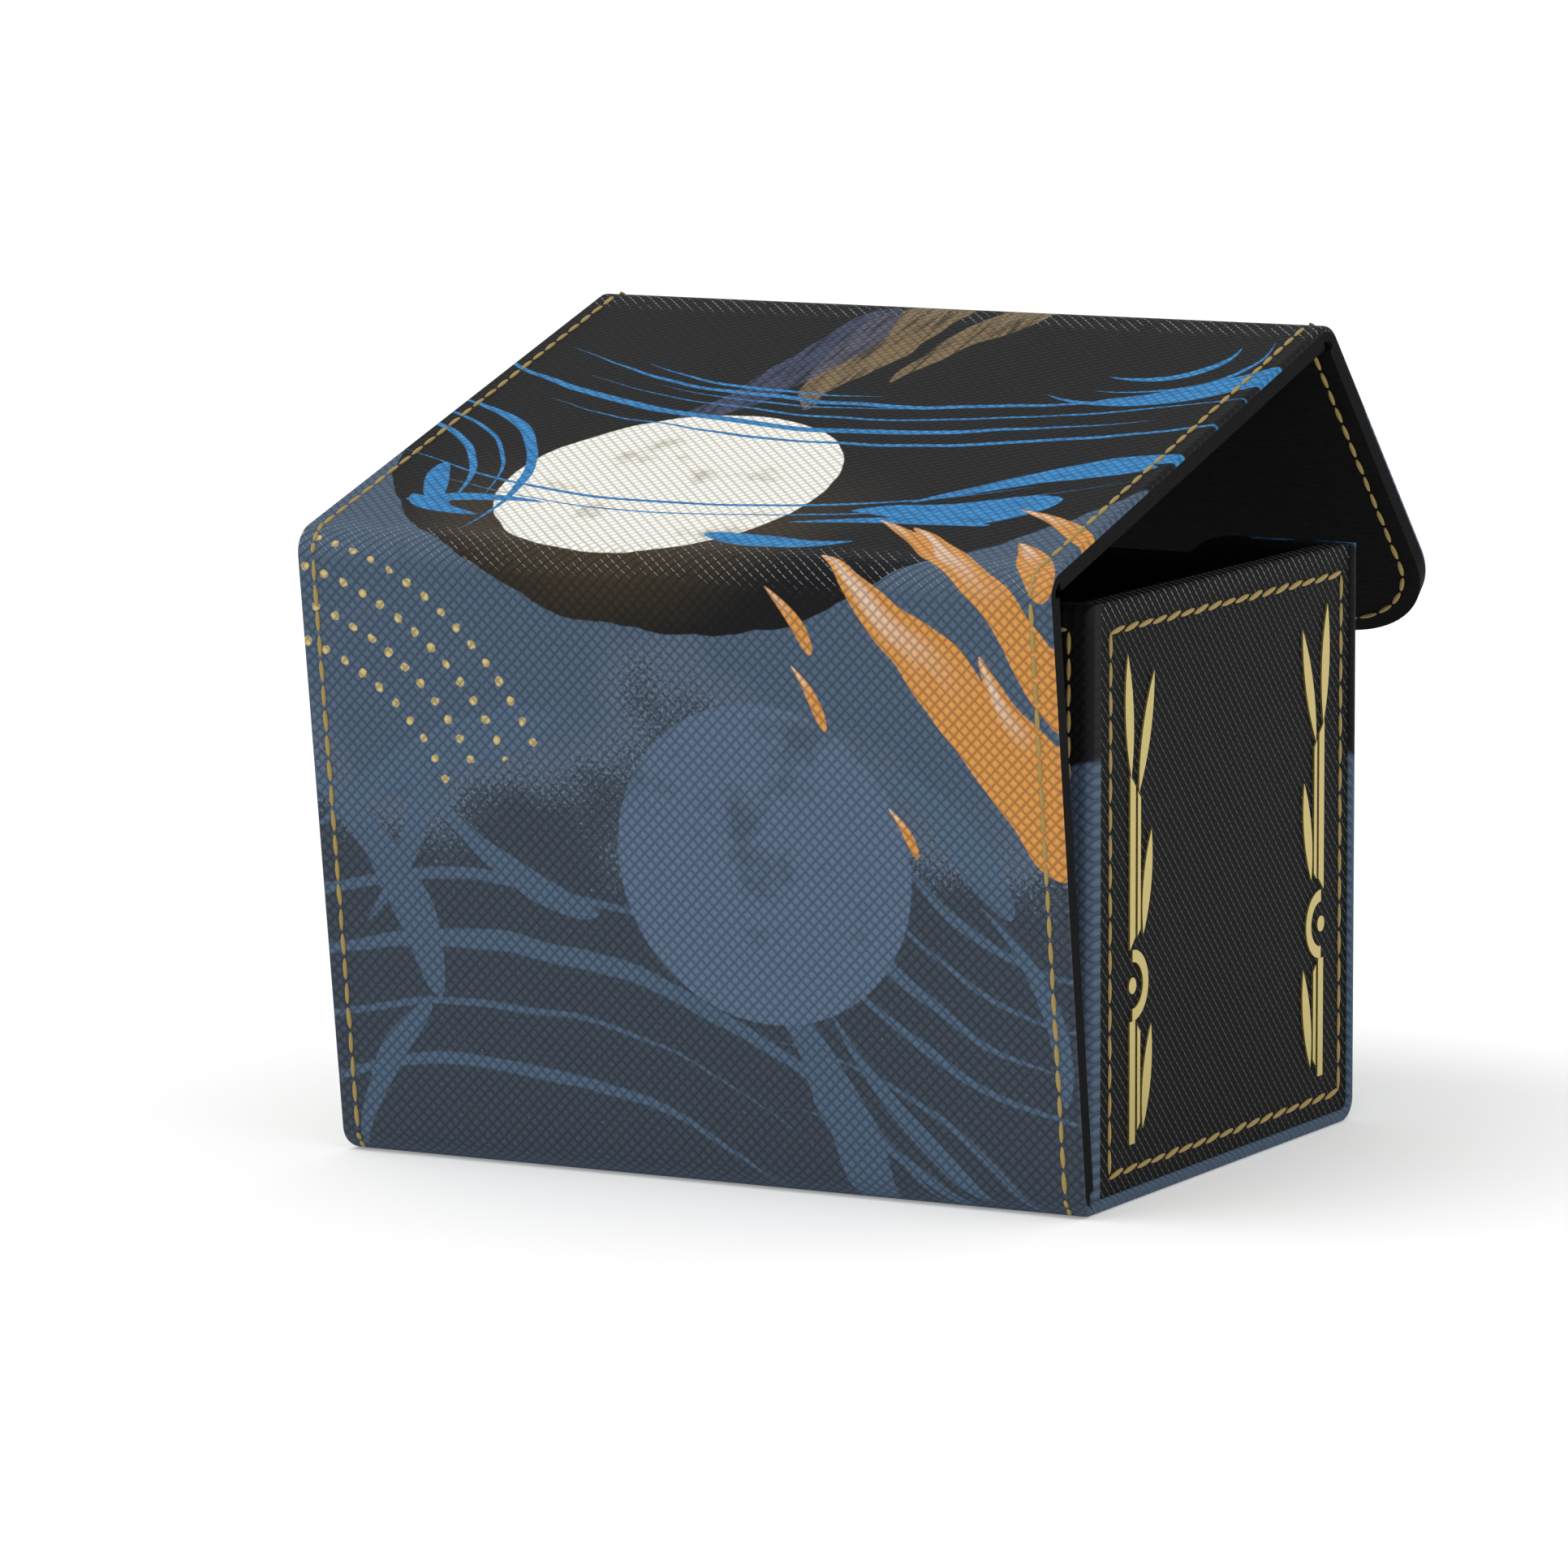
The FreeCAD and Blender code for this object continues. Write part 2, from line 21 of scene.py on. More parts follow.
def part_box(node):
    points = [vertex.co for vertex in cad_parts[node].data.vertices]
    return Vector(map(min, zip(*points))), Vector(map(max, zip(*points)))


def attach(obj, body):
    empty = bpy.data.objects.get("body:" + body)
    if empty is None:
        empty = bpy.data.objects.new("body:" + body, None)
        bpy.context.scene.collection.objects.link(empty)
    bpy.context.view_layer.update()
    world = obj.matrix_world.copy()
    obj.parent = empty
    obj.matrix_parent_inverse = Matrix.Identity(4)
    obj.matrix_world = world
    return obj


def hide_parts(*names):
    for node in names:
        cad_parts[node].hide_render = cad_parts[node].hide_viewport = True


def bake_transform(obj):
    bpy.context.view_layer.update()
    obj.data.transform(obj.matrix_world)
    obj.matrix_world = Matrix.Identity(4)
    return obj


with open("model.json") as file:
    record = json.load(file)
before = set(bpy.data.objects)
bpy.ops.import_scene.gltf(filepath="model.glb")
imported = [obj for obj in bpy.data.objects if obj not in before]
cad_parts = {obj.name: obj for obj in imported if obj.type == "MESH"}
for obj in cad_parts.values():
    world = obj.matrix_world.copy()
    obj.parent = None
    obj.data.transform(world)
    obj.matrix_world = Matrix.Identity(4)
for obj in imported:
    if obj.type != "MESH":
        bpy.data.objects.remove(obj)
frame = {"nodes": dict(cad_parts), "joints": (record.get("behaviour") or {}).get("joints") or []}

log = logging.getLogger("card_deck_box")
MM = 0.001
WRAP_UV = "wrap"
FACING = "facing"
STITCH_SEED = 7
WEAVE_PITCH = 1.515
DASH_PITCH = 1.07


# ---------------------------------------------------------------- colours and finishes
def linear(red: float, green: float, blue: float) -> tuple[float, float, float, float]:
    """Display colour turned into the linear colour that a shader takes.

    Args:
        red, green, blue: display values from 0 to 255.
    Returns:
        Linear red, green, blue and an alpha of 1.
    """
    def channel(value: float) -> float:
        """Linear value of one channel."""
        share = value / 255
        return share / 12.92 if share <= 0.04045 else ((share + 0.055) / 1.055) ** 2.4
    return channel(red), channel(green), channel(blue), 1.0


class Ink(Enum):
    """Colours of the print, and the colour of the painted highlight ticks over the upper folds."""
    SLATE = (80, 99, 120)
    CHARCOAL = (64, 74, 86)
    SPECKLE = (110, 124, 142)
    SLATE_WAVE = (84, 106, 130)
    PALE_DISC = (93, 113, 138)
    NIGHT = (22, 22, 23)
    GLOW = (66, 56, 40)
    CREAM = (255, 253, 243)
    WAVE = (60, 144, 206)
    WAVE_DEEP = (44, 104, 160)
    ORANGE = (218, 152, 80)
    ORANGE_LIGHT = (232, 205, 182)
    GOLD = (206, 186, 128)
    TAN = (146, 124, 90)
    STEEL = (76, 84, 112)
    # Painted highlight: light ticks where the bent leather over the upper folds catches the light.
    BEND_HIGHLIGHT = (150, 156, 162)

    @property
    def rgba(self) -> tuple[float, float, float, float]:
        """Linear colour of the ink."""
        return linear(*self.value)


@dataclass(frozen=True)
class Coat:
    """Plain finish of one kind of piece."""
    name: str
    colour: tuple[int, int, int]
    roughness: float
    metallic: float = 0.0
    specular: float = 0.5
    bending: float = 1.5


class Finish(Enum):
    """Finishes with a single ground colour."""
    LINING = Coat("black_lining", (10, 10, 11), 0.75, specular=0.06)
    END_LEATHER = Coat("black_leather", (24, 24, 25), 0.6, specular=0.2, bending=1.2)
    THREAD = Coat("gold_thread", (156, 134, 78), 0.6, specular=0.2)
    # Painted shade: the dark inside of the needle holes.
    HOLE = Coat("needle_hole", (12, 10, 8), 0.9, specular=0.0)
    FOIL = Coat("gold_foil", (186, 168, 98), 0.28, metallic=0.8)
    BOARD = Coat("grey_board", (122, 118, 112), 0.9)
    MAGNET = Coat("magnet", (170, 170, 176), 0.3, metallic=1.0)
    FLOOR = Coat("pale_floor", (226, 226, 226), 0.9, specular=0.0)


# ---------------------------------------------------------------- node writing
class TreeWriter:
    """Writes shader or geometry nodes into one tree."""

    def __init__(self, tree: bpy.types.NodeTree) -> None:
        """Writer for a tree."""
        self.tree = tree

    def node(self, kind: str, **settings: object) -> bpy.types.Node:
        """Adds a node.

        Args:
            kind: node class name.
            settings: attributes to set on the node.
        Returns:
            The new node.
        """
        made = self.tree.nodes.new(kind)
        for key, value in settings.items():
            setattr(made, key, value)
        return made

    def put(self, socket: bpy.types.NodeSocket, value: object) -> None:
        """Links a socket, or sets a constant, on an input socket.

        Args:
            socket: the input socket.
            value: an output socket, a constant, or None to leave it.
        """
        if isinstance(value, bpy.types.NodeSocket):
            self.tree.links.new(value, socket)
        elif value is not None:
            socket.default_value = value

    def math(self, operation: str, *values: object, clamp: bool = False) -> bpy.types.NodeSocket:
        """Scalar maths node.

        Args:
            operation: the node's operation.
            values: sockets or numbers, in the order of its inputs.
            clamp: True keeps the result between 0 and 1.
        Returns:
            The result.
        """
        made = self.node("ShaderNodeMath", operation=operation, use_clamp=clamp)
        for socket, value in zip(made.inputs, values):
            self.put(socket, value)
        return made.outputs[0]

    def add(self, one: object, other: object) -> bpy.types.NodeSocket:
        """Sum of two values."""
        return self.math("ADD", one, other)

    def sub(self, one: object, other: object) -> bpy.types.NodeSocket:
        """First value less the second."""
        return self.math("SUBTRACT", one, other)

    def mul(self, one: object, other: object) -> bpy.types.NodeSocket:
        """Product of two values."""
        return self.math("MULTIPLY", one, other)

    def div(self, one: object, other: object) -> bpy.types.NodeSocket:
        """First value over the second."""
        return self.math("DIVIDE", one, other)

    def off_middle(self, value: object) -> bpy.types.NodeSocket:
        """Distance of a repeating value from the middle of its cell."""
        return self.math("ABSOLUTE", self.sub(self.math("FRACT", value), 0.5))

    def flip(self, value: object) -> bpy.types.NodeSocket:
        """One less the value."""
        return self.sub(1.0, value)

    def vector(self, operation: str, *values: object, output: str = "Vector") -> bpy.types.NodeSocket:
        """Vector maths node.

        Args:
            operation: the node's operation.
            values: sockets or vectors, in the order of its inputs.
            output: name of the output wanted.
        Returns:
            The named output.
        """
        made = self.node("ShaderNodeVectorMath", operation=operation)
        for socket, value in zip(made.inputs, values):
            self.put(socket, value)
        return made.outputs[output]

    def split(self, vector: bpy.types.NodeSocket) -> tuple[bpy.types.NodeSocket, ...]:
        """X, Y and Z of a vector."""
        made = self.node("ShaderNodeSeparateXYZ")
        self.put(made.inputs[0], vector)
        return tuple(made.outputs)

    def join(self, x: object, y: object, z: object = 0.0) -> bpy.types.NodeSocket:
        """Vector from three values.

        Args:
            x, y, z: sockets or numbers.
        Returns:
            The vector.
        """
        made = self.node("ShaderNodeCombineXYZ")
        for socket, value in zip(made.inputs, (x, y, z)):
            self.put(socket, value)
        return made.outputs[0]

    def step(self, value: object, low: object, high: object) -> bpy.types.NodeSocket:
        """Smooth 0 to 1 as the value goes from low to high.

        Args:
            value: what goes from low to high.
            low: where the result is 0.
            high: where the result is 1.
        Returns:
            The smooth result.
        """
        made = self.node("ShaderNodeMapRange", interpolation_type="SMOOTHSTEP")
        for name, given in (("Value", value), ("From Min", low), ("From Max", high)):
            self.put(made.inputs[name], given)
        return made.outputs["Result"]

    def below(self, value: object, limit: object, soft: float) -> bpy.types.NodeSocket:
        """1 where the value is under the limit, with a soft edge."""
        return self.flip(self.step(self.sub(value, limit), -soft, soft))

    def noise(self, vector: object, scale: float, detail: float = 2.0,
              roughness: float = 0.5) -> bpy.types.NodeSocket:
        """Noise value about 0.5.

        Args:
            vector: place.
            scale: size of the pattern, larger is finer.
            detail: octaves.
            roughness: share of the finer octaves.
        Returns:
            The value.
        """
        made = self.node("ShaderNodeTexNoise", noise_dimensions="3D")
        self.put(made.inputs["Vector"], vector)
        for name, given in (("Scale", scale), ("Detail", detail), ("Roughness", roughness)):
            made.inputs[name].default_value = given
        return made.outputs["Fac"]

    def mix(self, share: object, low: object, high: object, blend: str = "MIX") -> bpy.types.NodeSocket:
        """Colour between low and high.

        Args:
            share: 0 for low, 1 for high.
            low, high: colours.
            blend: way of mixing.
        Returns:
            The colour.
        """
        made = self.node("ShaderNodeMix", data_type="RGBA", blend_type=blend)
        for index, given in ((0, share), (6, low), (7, high)):
            self.put(made.inputs[index], given)
        return made.outputs[2]

    def group(self, tree: bpy.types.NodeTree, **values: object) -> bpy.types.Node:
        """Group node with its named inputs set.

        Args:
            tree: the group.
            values: its inputs; underscores in the names stand for spaces.
        Returns:
            The group node.
        """
        made = self.node("ShaderNodeGroup", node_tree=tree)
        for key, given in values.items():
            self.put(made.inputs[key.replace("_", " ")], given)
        return made


FLOAT, VECTOR, COLOUR = "NodeSocketFloat", "NodeSocketVector", "NodeSocketColor"
PLACE = ("Vector", VECTOR, None)


def new_group(name: str, kind: str, inputs: Sequence[tuple], outputs: Sequence[tuple]) -> tuple:
    """Empty node group with named sockets.

    Args:
        name: name of the group.
        kind: "ShaderNodeTree" or "GeometryNodeTree".
        inputs: (socket name, socket kind, value or None) of each input.
        outputs: (socket name, socket kind) of each output.
    Returns:
        The tree, its writer, the sockets it is given and the sockets it puts out.
    """
    tree = bpy.data.node_groups.new(name, kind)
    for socket, socket_kind, value in inputs:
        made = tree.interface.new_socket(socket, in_out="INPUT", socket_type=socket_kind)
        if value is not None:
            made.default_value = value
    for socket, socket_kind in outputs:
        tree.interface.new_socket(socket, in_out="OUTPUT", socket_type=socket_kind)
    writer = TreeWriter(tree)
    return tree, writer, writer.node("NodeGroupInput").outputs, writer.node("NodeGroupOutput").inputs


def numbers(**values: float) -> list[tuple]:
    """Number sockets with their values; underscores in the names stand for spaces."""
    return [(key.replace("_", " "), FLOAT, value) for key, value in values.items()]


CENTRED = [PLACE] + numbers(Centre_X=0.0, Centre_Y=0.0)


def weave_group() -> bpy.types.NodeTree:
    """Diamond weave of the leather: line mask and height.

    Returns:
        Group taking a print coordinate and a pitch in millimetres.
    """
    tree, w, given, out = new_group("leather_weave", "ShaderNodeTree",
                                    [PLACE] + numbers(Pitch=WEAVE_PITCH), [("Lines", FLOAT), ("Height", FLOAT)])
    line, line_soft, rise = 0.07, 0.10, 0.40
    x, v, _ = w.split(given["Vector"])
    heights, lines = [], []
    for slanted in (w.add(x, v), w.sub(x, v)):
        cell = w.math("PINGPONG", w.div(slanted, given["Pitch"]), 0.5)
        lines.append(w.below(cell, line, line_soft))
        heights.append(w.step(cell, 0.0, rise))
    w.put(out["Lines"], w.math("MAXIMUM", *lines))
    w.put(out["Height"], w.mul(*heights))
    return tree


def highlight_ticks_group() -> bpy.types.NodeTree:
    """Painted highlights: short light ticks on the weave where the leather bends over the two upper folds.

    Returns:
        Group taking a print coordinate and a pitch in millimetres, giving a mask.
    """
    tree, w, given, out = new_group("bend_ticks", "ShaderNodeTree", [PLACE] + numbers(Pitch=WEAVE_PITCH),
                                    [("Mask", FLOAT)])
    half_width, end_gap, soft = 0.05, 0.14, 0.05
    bends = ((75.0, 77.5, 82.5, 85.5), (154.5, 157.0, 161.0, 164.0))
    x, v, _ = w.split(given["Vector"])
    falling = w.math("PINGPONG", w.div(w.add(x, v), given["Pitch"]), 0.5)
    rising = w.math("PINGPONG", w.div(w.sub(x, v), given["Pitch"]), 0.5)
    thin = w.below(falling, half_width, 0.045)
    short = w.flip(w.below(rising, end_gap, soft))
    zone = None
    for starts, full, fades, ends in bends:
        here = w.mul(w.step(v, starts, full), w.flip(w.step(v, fades, ends)))
        zone = here if zone is None else w.math("MAXIMUM", zone, here)
    # Patches where the painted highlight ticks show.
    wear_and_painted_light = w.step(w.noise(given["Vector"], 0.4, 2.0), 0.30, 0.55)
    w.put(out["Mask"], w.mul(w.mul(thin, short), w.mul(zone, wear_and_painted_light)))
    return tree


def disc_group() -> bpy.types.NodeTree:
    """Round patch with an uneven rim.

    Returns:
        Group giving the disc's mask and the distance from its centre.
    """
    tree, w, given, out = new_group("disc", "ShaderNodeTree",
                                    CENTRED + numbers(Radius=10.0, Wobble=0.0, Soft=0.12),
                                    [("Mask", FLOAT), ("Distance", FLOAT)])
    centre = w.join(given["Centre X"], given["Centre Y"])
    away = w.vector("SUBTRACT", given["Vector"], centre)
    distance = w.vector("LENGTH", away, output="Value")
    sway = w.mul(w.sub(w.noise(given["Vector"], 0.05, 3.0), 0.5), given["Wobble"])
    uneven = w.add(distance, sway)
    gap = w.sub(uneven, given["Radius"])
    w.put(out["Mask"], w.flip(w.step(w.div(gap, given["Soft"]), -1.0, 1.0)))
    w.put(out["Distance"], uneven)
    return tree


def stroke_group() -> bpy.types.NodeTree:
    """Tapered brush stroke: wide at its head, drawn out to a point.

    Returns:
        Group giving the stroke's mask, and the share along and across it from -1 to 1.
    """
    tree, w, given, out = new_group("brush_stroke", "ShaderNodeTree",
                                    CENTRED + numbers(Angle=0.0, Length=20.0, Width=3.0, Bend=0.0),
                                    [("Mask", FLOAT), ("Along", FLOAT), ("Across", FLOAT)])
    sharpness, middle_width, head_gain, edge, sway_share = 0.56, 0.66, 0.34, 0.12, 0.5
    vec = given["Vector"]
    away = w.vector("SUBTRACT", vec, w.join(given["Centre X"], given["Centre Y"]))
    x, y, _ = w.split(away)
    cosine, sine = w.math("COSINE", given["Angle"]), w.math("SINE", given["Angle"])
    along = w.add(w.mul(x, cosine), w.mul(y, sine))
    across = w.sub(w.mul(y, cosine), w.mul(x, sine))
    share = w.div(along, w.mul(given["Length"], 0.5))
    round_share = w.math("MAXIMUM", w.flip(w.mul(share, share)), 0.0)
    sway = w.mul(w.sub(w.noise(vec, 0.075, 1.0), 0.5), w.mul(given["Width"], sway_share))
    centred = w.add(w.sub(across, w.mul(given["Bend"], round_share)), sway)
    taper = w.mul(w.math("POWER", round_share, sharpness), w.add(middle_width, w.mul(share, head_gain)))
    reach = w.mul(w.mul(given["Width"], 0.5), taper)
    inside = w.below(w.math("ABSOLUTE", centred), reach, edge)
    w.put(out["Mask"], w.mul(inside, w.below(w.math("ABSOLUTE", share), 1.0, 0.01)))
    w.put(out["Along"], share)
    w.put(out["Across"], w.div(centred, w.math("MAXIMUM", reach, 0.05)))
    return tree


def waves_group() -> bpy.types.NodeTree:
    """Sweeping bands that follow arcs about a centre and taper at both ends.

    Returns:
        Group giving the mask of the bands.
    """
    tree, w, given, out = new_group("wave_bands", "ShaderNodeTree",
                                    CENTRED + numbers(Inner=20.0, Outer=30.0, Pitch=3.0, Share=0.4, Start=0.0,
                                                      End=2.0, Wobble=3.0, Taper=0.5),
                                    [("Mask", FLOAT)])
    shift_step, shift_reach = 2.4, 0.16
    thick_step, thick_middle, thick_reach = 4.1, 0.62, 0.34
    vec = given["Vector"]
    away = w.vector("SUBTRACT", vec, w.join(given["Centre X"], given["Centre Y"]))
    x, y, _ = w.split(away)
    sway = w.mul(w.sub(w.noise(vec, 0.035, 2.0), 0.5), given["Wobble"])
    radius = w.add(w.vector("LENGTH", away, output="Value"), sway)
    angle = w.math("ARCTAN2", y, x)
    row = w.div(w.sub(radius, given["Inner"]), given["Pitch"])
    index = w.math("FLOOR", row)
    shift = w.mul(w.math("SINE", w.mul(index, shift_step)), shift_reach)
    begun = w.sub(angle, w.add(given["Start"], shift))
    left = w.sub(w.add(given["End"], shift), angle)
    taper = w.mul(*(w.math("DIVIDE", angle_left, given["Taper"], clamp=True) for angle_left in (begun, left)))
    uneven = w.add(thick_middle, w.mul(w.math("SINE", w.mul(index, thick_step)), thick_reach))
    thick = w.mul(w.mul(given["Share"], uneven), taper)
    middle = w.off_middle(row)
    band = w.below(middle, w.mul(thick, 0.5), 0.025)
    window = w.mul(w.step(radius, given["Inner"], w.add(given["Inner"], 0.1)),
                   w.flip(w.step(radius, w.sub(given["Outer"], 0.1), given["Outer"])))
    drawn = w.mul(w.step(taper, 0.0, 0.05), window)
    w.put(out["Mask"], w.mul(band, drawn))
    return tree


def dots_group() -> bpy.types.NodeTree:
    """Dots set along arcs about a centre.

    Returns:
        Group giving the mask of the dots.
    """
    tree, w, given, out = new_group("dot_arcs", "ShaderNodeTree",
                                    CENTRED + numbers(Inner=20.0, Rows=3.0, Row_Pitch=7.0, Dot_Pitch=4.2, Dot=0.6,
                                                      Start=0.0, End=1.5),
                                    [("Mask", FLOAT)])
    size_step, size_reach, rim_reach = 12.7, 0.12, 0.7
    away = w.vector("SUBTRACT", given["Vector"], w.join(given["Centre X"], given["Centre Y"]))
    x, y, _ = w.split(away)
    radius, angle = w.vector("LENGTH", away, output="Value"), w.math("ARCTAN2", y, x)
    row = w.div(w.sub(radius, given["Inner"]), given["Row Pitch"])
    index = w.math("FLOOR", row)
    middle = w.add(given["Inner"], w.mul(w.add(index, 0.5), given["Row Pitch"]))
    step = w.div(given["Dot Pitch"], middle)
    place = w.div(angle, step)
    off_along = w.mul(w.sub(w.math("FRACT", place), 0.5), given["Dot Pitch"])
    off_out = w.sub(radius, middle)
    size = w.add(given["Dot"], w.mul(w.math("SINE", w.mul(w.math("FLOOR", place), size_step)), size_reach))
    uneven = w.mul(w.sub(w.noise(given["Vector"], 0.9, 1.0), 0.5), rim_reach)
    away_dot = w.add(w.vector("LENGTH", w.join(off_along, off_out), output="Value"), uneven)
    inside = w.below(away_dot, size, 0.1)
    rows = w.mul(w.step(row, -0.01, 0.0), w.below(row, given["Rows"], 0.01))
    begun = w.step(angle, w.sub(given["Start"], 0.01), given["Start"])
    spanned = w.mul(begun, w.below(angle, given["End"], 0.005))
    w.put(out["Mask"], w.mul(w.mul(inside, rows), spanned))
    return tree


@dataclass(frozen=True)
class Disc:
    """Round patch of the print, in print millimetres."""
    x: float
    v: float
    radius: float
    wobble: float = 0.0
    soft: float = 0.12


@dataclass(frozen=True)
class Stroke:
    """Brush stroke of the print: middle, slope in degrees, length, width and bend in millimetres."""
    x: float
    v: float
    slope: float
    length: float
    width: float
    bend: float = 0.0


@dataclass(frozen=True)
class Waves:
    """Bands along arcs: centre, radii, pitch, share of the pitch that is inked, angles in degrees, wobble."""
    x: float
    v: float
    inner: float
    outer: float
    pitch: float
    share: float
    start: float
    end: float
    wobble: float = 3.0
    taper: float = 0.5


@dataclass(frozen=True)
class Dots:
    """Dots along arcs: centre, inner radius, rows, pitches, dot radius and the angles they span in degrees."""
    x: float = -60.0
    v: float = 37.0
    inner: float = 27.7
    rows: float = 4.0
    row_pitch: float = 4.6
    dot_pitch: float = 2.8
    dot: float = 0.44
    start: float = 23.0
    end: float = 84.0


@dataclass(frozen=True)
class Artwork:
    """The print's generic design: its shapes, and the heights where its grounds change."""
    dots: Dots = Dots()
    front_starts: tuple[float, float] = (-4.0, 3.0)
    glow_top: float = 104.0
    glow_reach: float = 15.0
    rear_night_ends: tuple[float, float] = (-118.5, -117.5)
    rear_night_sway: float = 9.0
    rear_patch_ends: tuple[float, float] = (-150.5, -148.5)
    moon: Disc = Disc(11.0, 41.3, 20.0)
    night: Disc = Disc(0.0, 123.5, 54.2, wobble=7.0)
    night_back: Disc = Disc(0.0, 151.0, 58.0, wobble=6.0)
    sun: Disc = Disc(-10.5, 101.0, 21.5, wobble=3.0)
    ground_waves: tuple[Waves, ...] = (
        Waves(-30.0, -52.0, 62.0, 92.0, 7.6, 0.5, 46, 132, 5.0, 0.9),
        Waves(4.0, -34.0, 42.0, 58.0, 7.8, 0.42, 12, 78, 4.0, 0.6),
        Waves(58.0, 62.0, 30.0, 54.0, 5.8, 0.40, -168, -88, 5.0, 0.7),
    )
    ground_strokes: tuple[Stroke, ...] = (
        Stroke(-44.0, 36.0, -58, 34, 8.0, 3.0),
        Stroke(-34.0, 50.0, 24, 38, 8.0, 2.0),
        Stroke(-40.0, 42.0, 66, 26, 4.5, -2.0),
        Stroke(-24.0, 41.0, -32, 28, 5.0, -2.5),
        Stroke(35.0, 46.0, -44, 26, 7.5, 2.0),
        Stroke(45.0, 26.0, -68, 26, 3.6, 3.5),
        Stroke(17.0, 12.0, -62, 36, 8.5, 2.0),
        Stroke(29.0, 12.0, -48, 30, 3.6, -1.5),
        Stroke(-43.0, 10.0, 62, 24, 5.0, 2.0),
    )
    sky_waves: tuple[Waves, ...] = (
        Waves(4.0, 222.0, 92.0, 108.0, 4.1, 0.36, -122, -58, 5.0, 0.35),
        Waves(-6.0, 190.0, 93.5, 99.5, 3.0, 0.34, -120, -62, 3.0, 0.3),
        Waves(-62.0, 92.0, 24.0, 35.0, 3.5, 0.42, -6, 88, 4.0, 0.5),
        Waves(-2.0, 196.0, 64.0, 72.0, 3.6, 0.36, -118, -84, 3.0, 0.3),
        Waves(34.0, 150.0, 8.0, 20.0, 4.0, 0.5, -110, 10, 5.0, 0.7),
    )
    sky_strokes: tuple[Stroke, ...] = (
        Stroke(-39.0, 96.0, 122, 17, 4.4, 1.8),
        Stroke(-33.0, 92.3, 184, 19, 3.2, -1.0),
        Stroke(-36.5, 90.5, 158, 13, 3.4, 1.0),
        Stroke(12.0, 86.5, 182, 20, 4.6, 1.2),
        Stroke(30.0, 99.0, 16, 26, 9.0, -2.5),
        Stroke(37.0, 106.0, 30, 30, 5.0, 2.0),
        Stroke(44.0, 112.0, 26, 24, 4.4, 1.5),
        Stroke(43.0, 140.0, 34, 26, 6.5, -3.0),
        Stroke(24.0, 92.5, 6, 26, 2.6, 0.8),
    )
    plumes: tuple[Stroke, ...] = (
        Stroke(-2.0, 145.0, 82, 40, 15.0, 2.5),
        Stroke(-14.0, 137.0, 74, 46, 12.0, -2.5),
        Stroke(9.0, 151.0, 68, 34, 8.0, 2.0),
    )
    flames: tuple[Stroke, ...] = (
        Stroke(36.5, 62.0, -49, 52, 12.5, 3.0),
        Stroke(42.5, 74.0, -51, 46, 9.0, 2.2),
        Stroke(50.0, 59.0, -50, 26, 7.0, -1.5),
        Stroke(46.5, 93.0, -38, 19, 4.4, 1.4),
        Stroke(47.0, 82.5, -58, 15, 6.0, 1.2),
        Stroke(16.5, 72.0, -56, 10, 2.4, 0.7),
        Stroke(18.6, 62.5, -62, 9, 2.0, 0.4),
        Stroke(30.2, 46.5, -60, 7, 1.7, 0.3),
        Stroke(34.0, 66.5, -52, 9, 1.8, 0.5),
        Stroke(28.5, 88.0, -40, 16, 3.2, 1.0),
    )


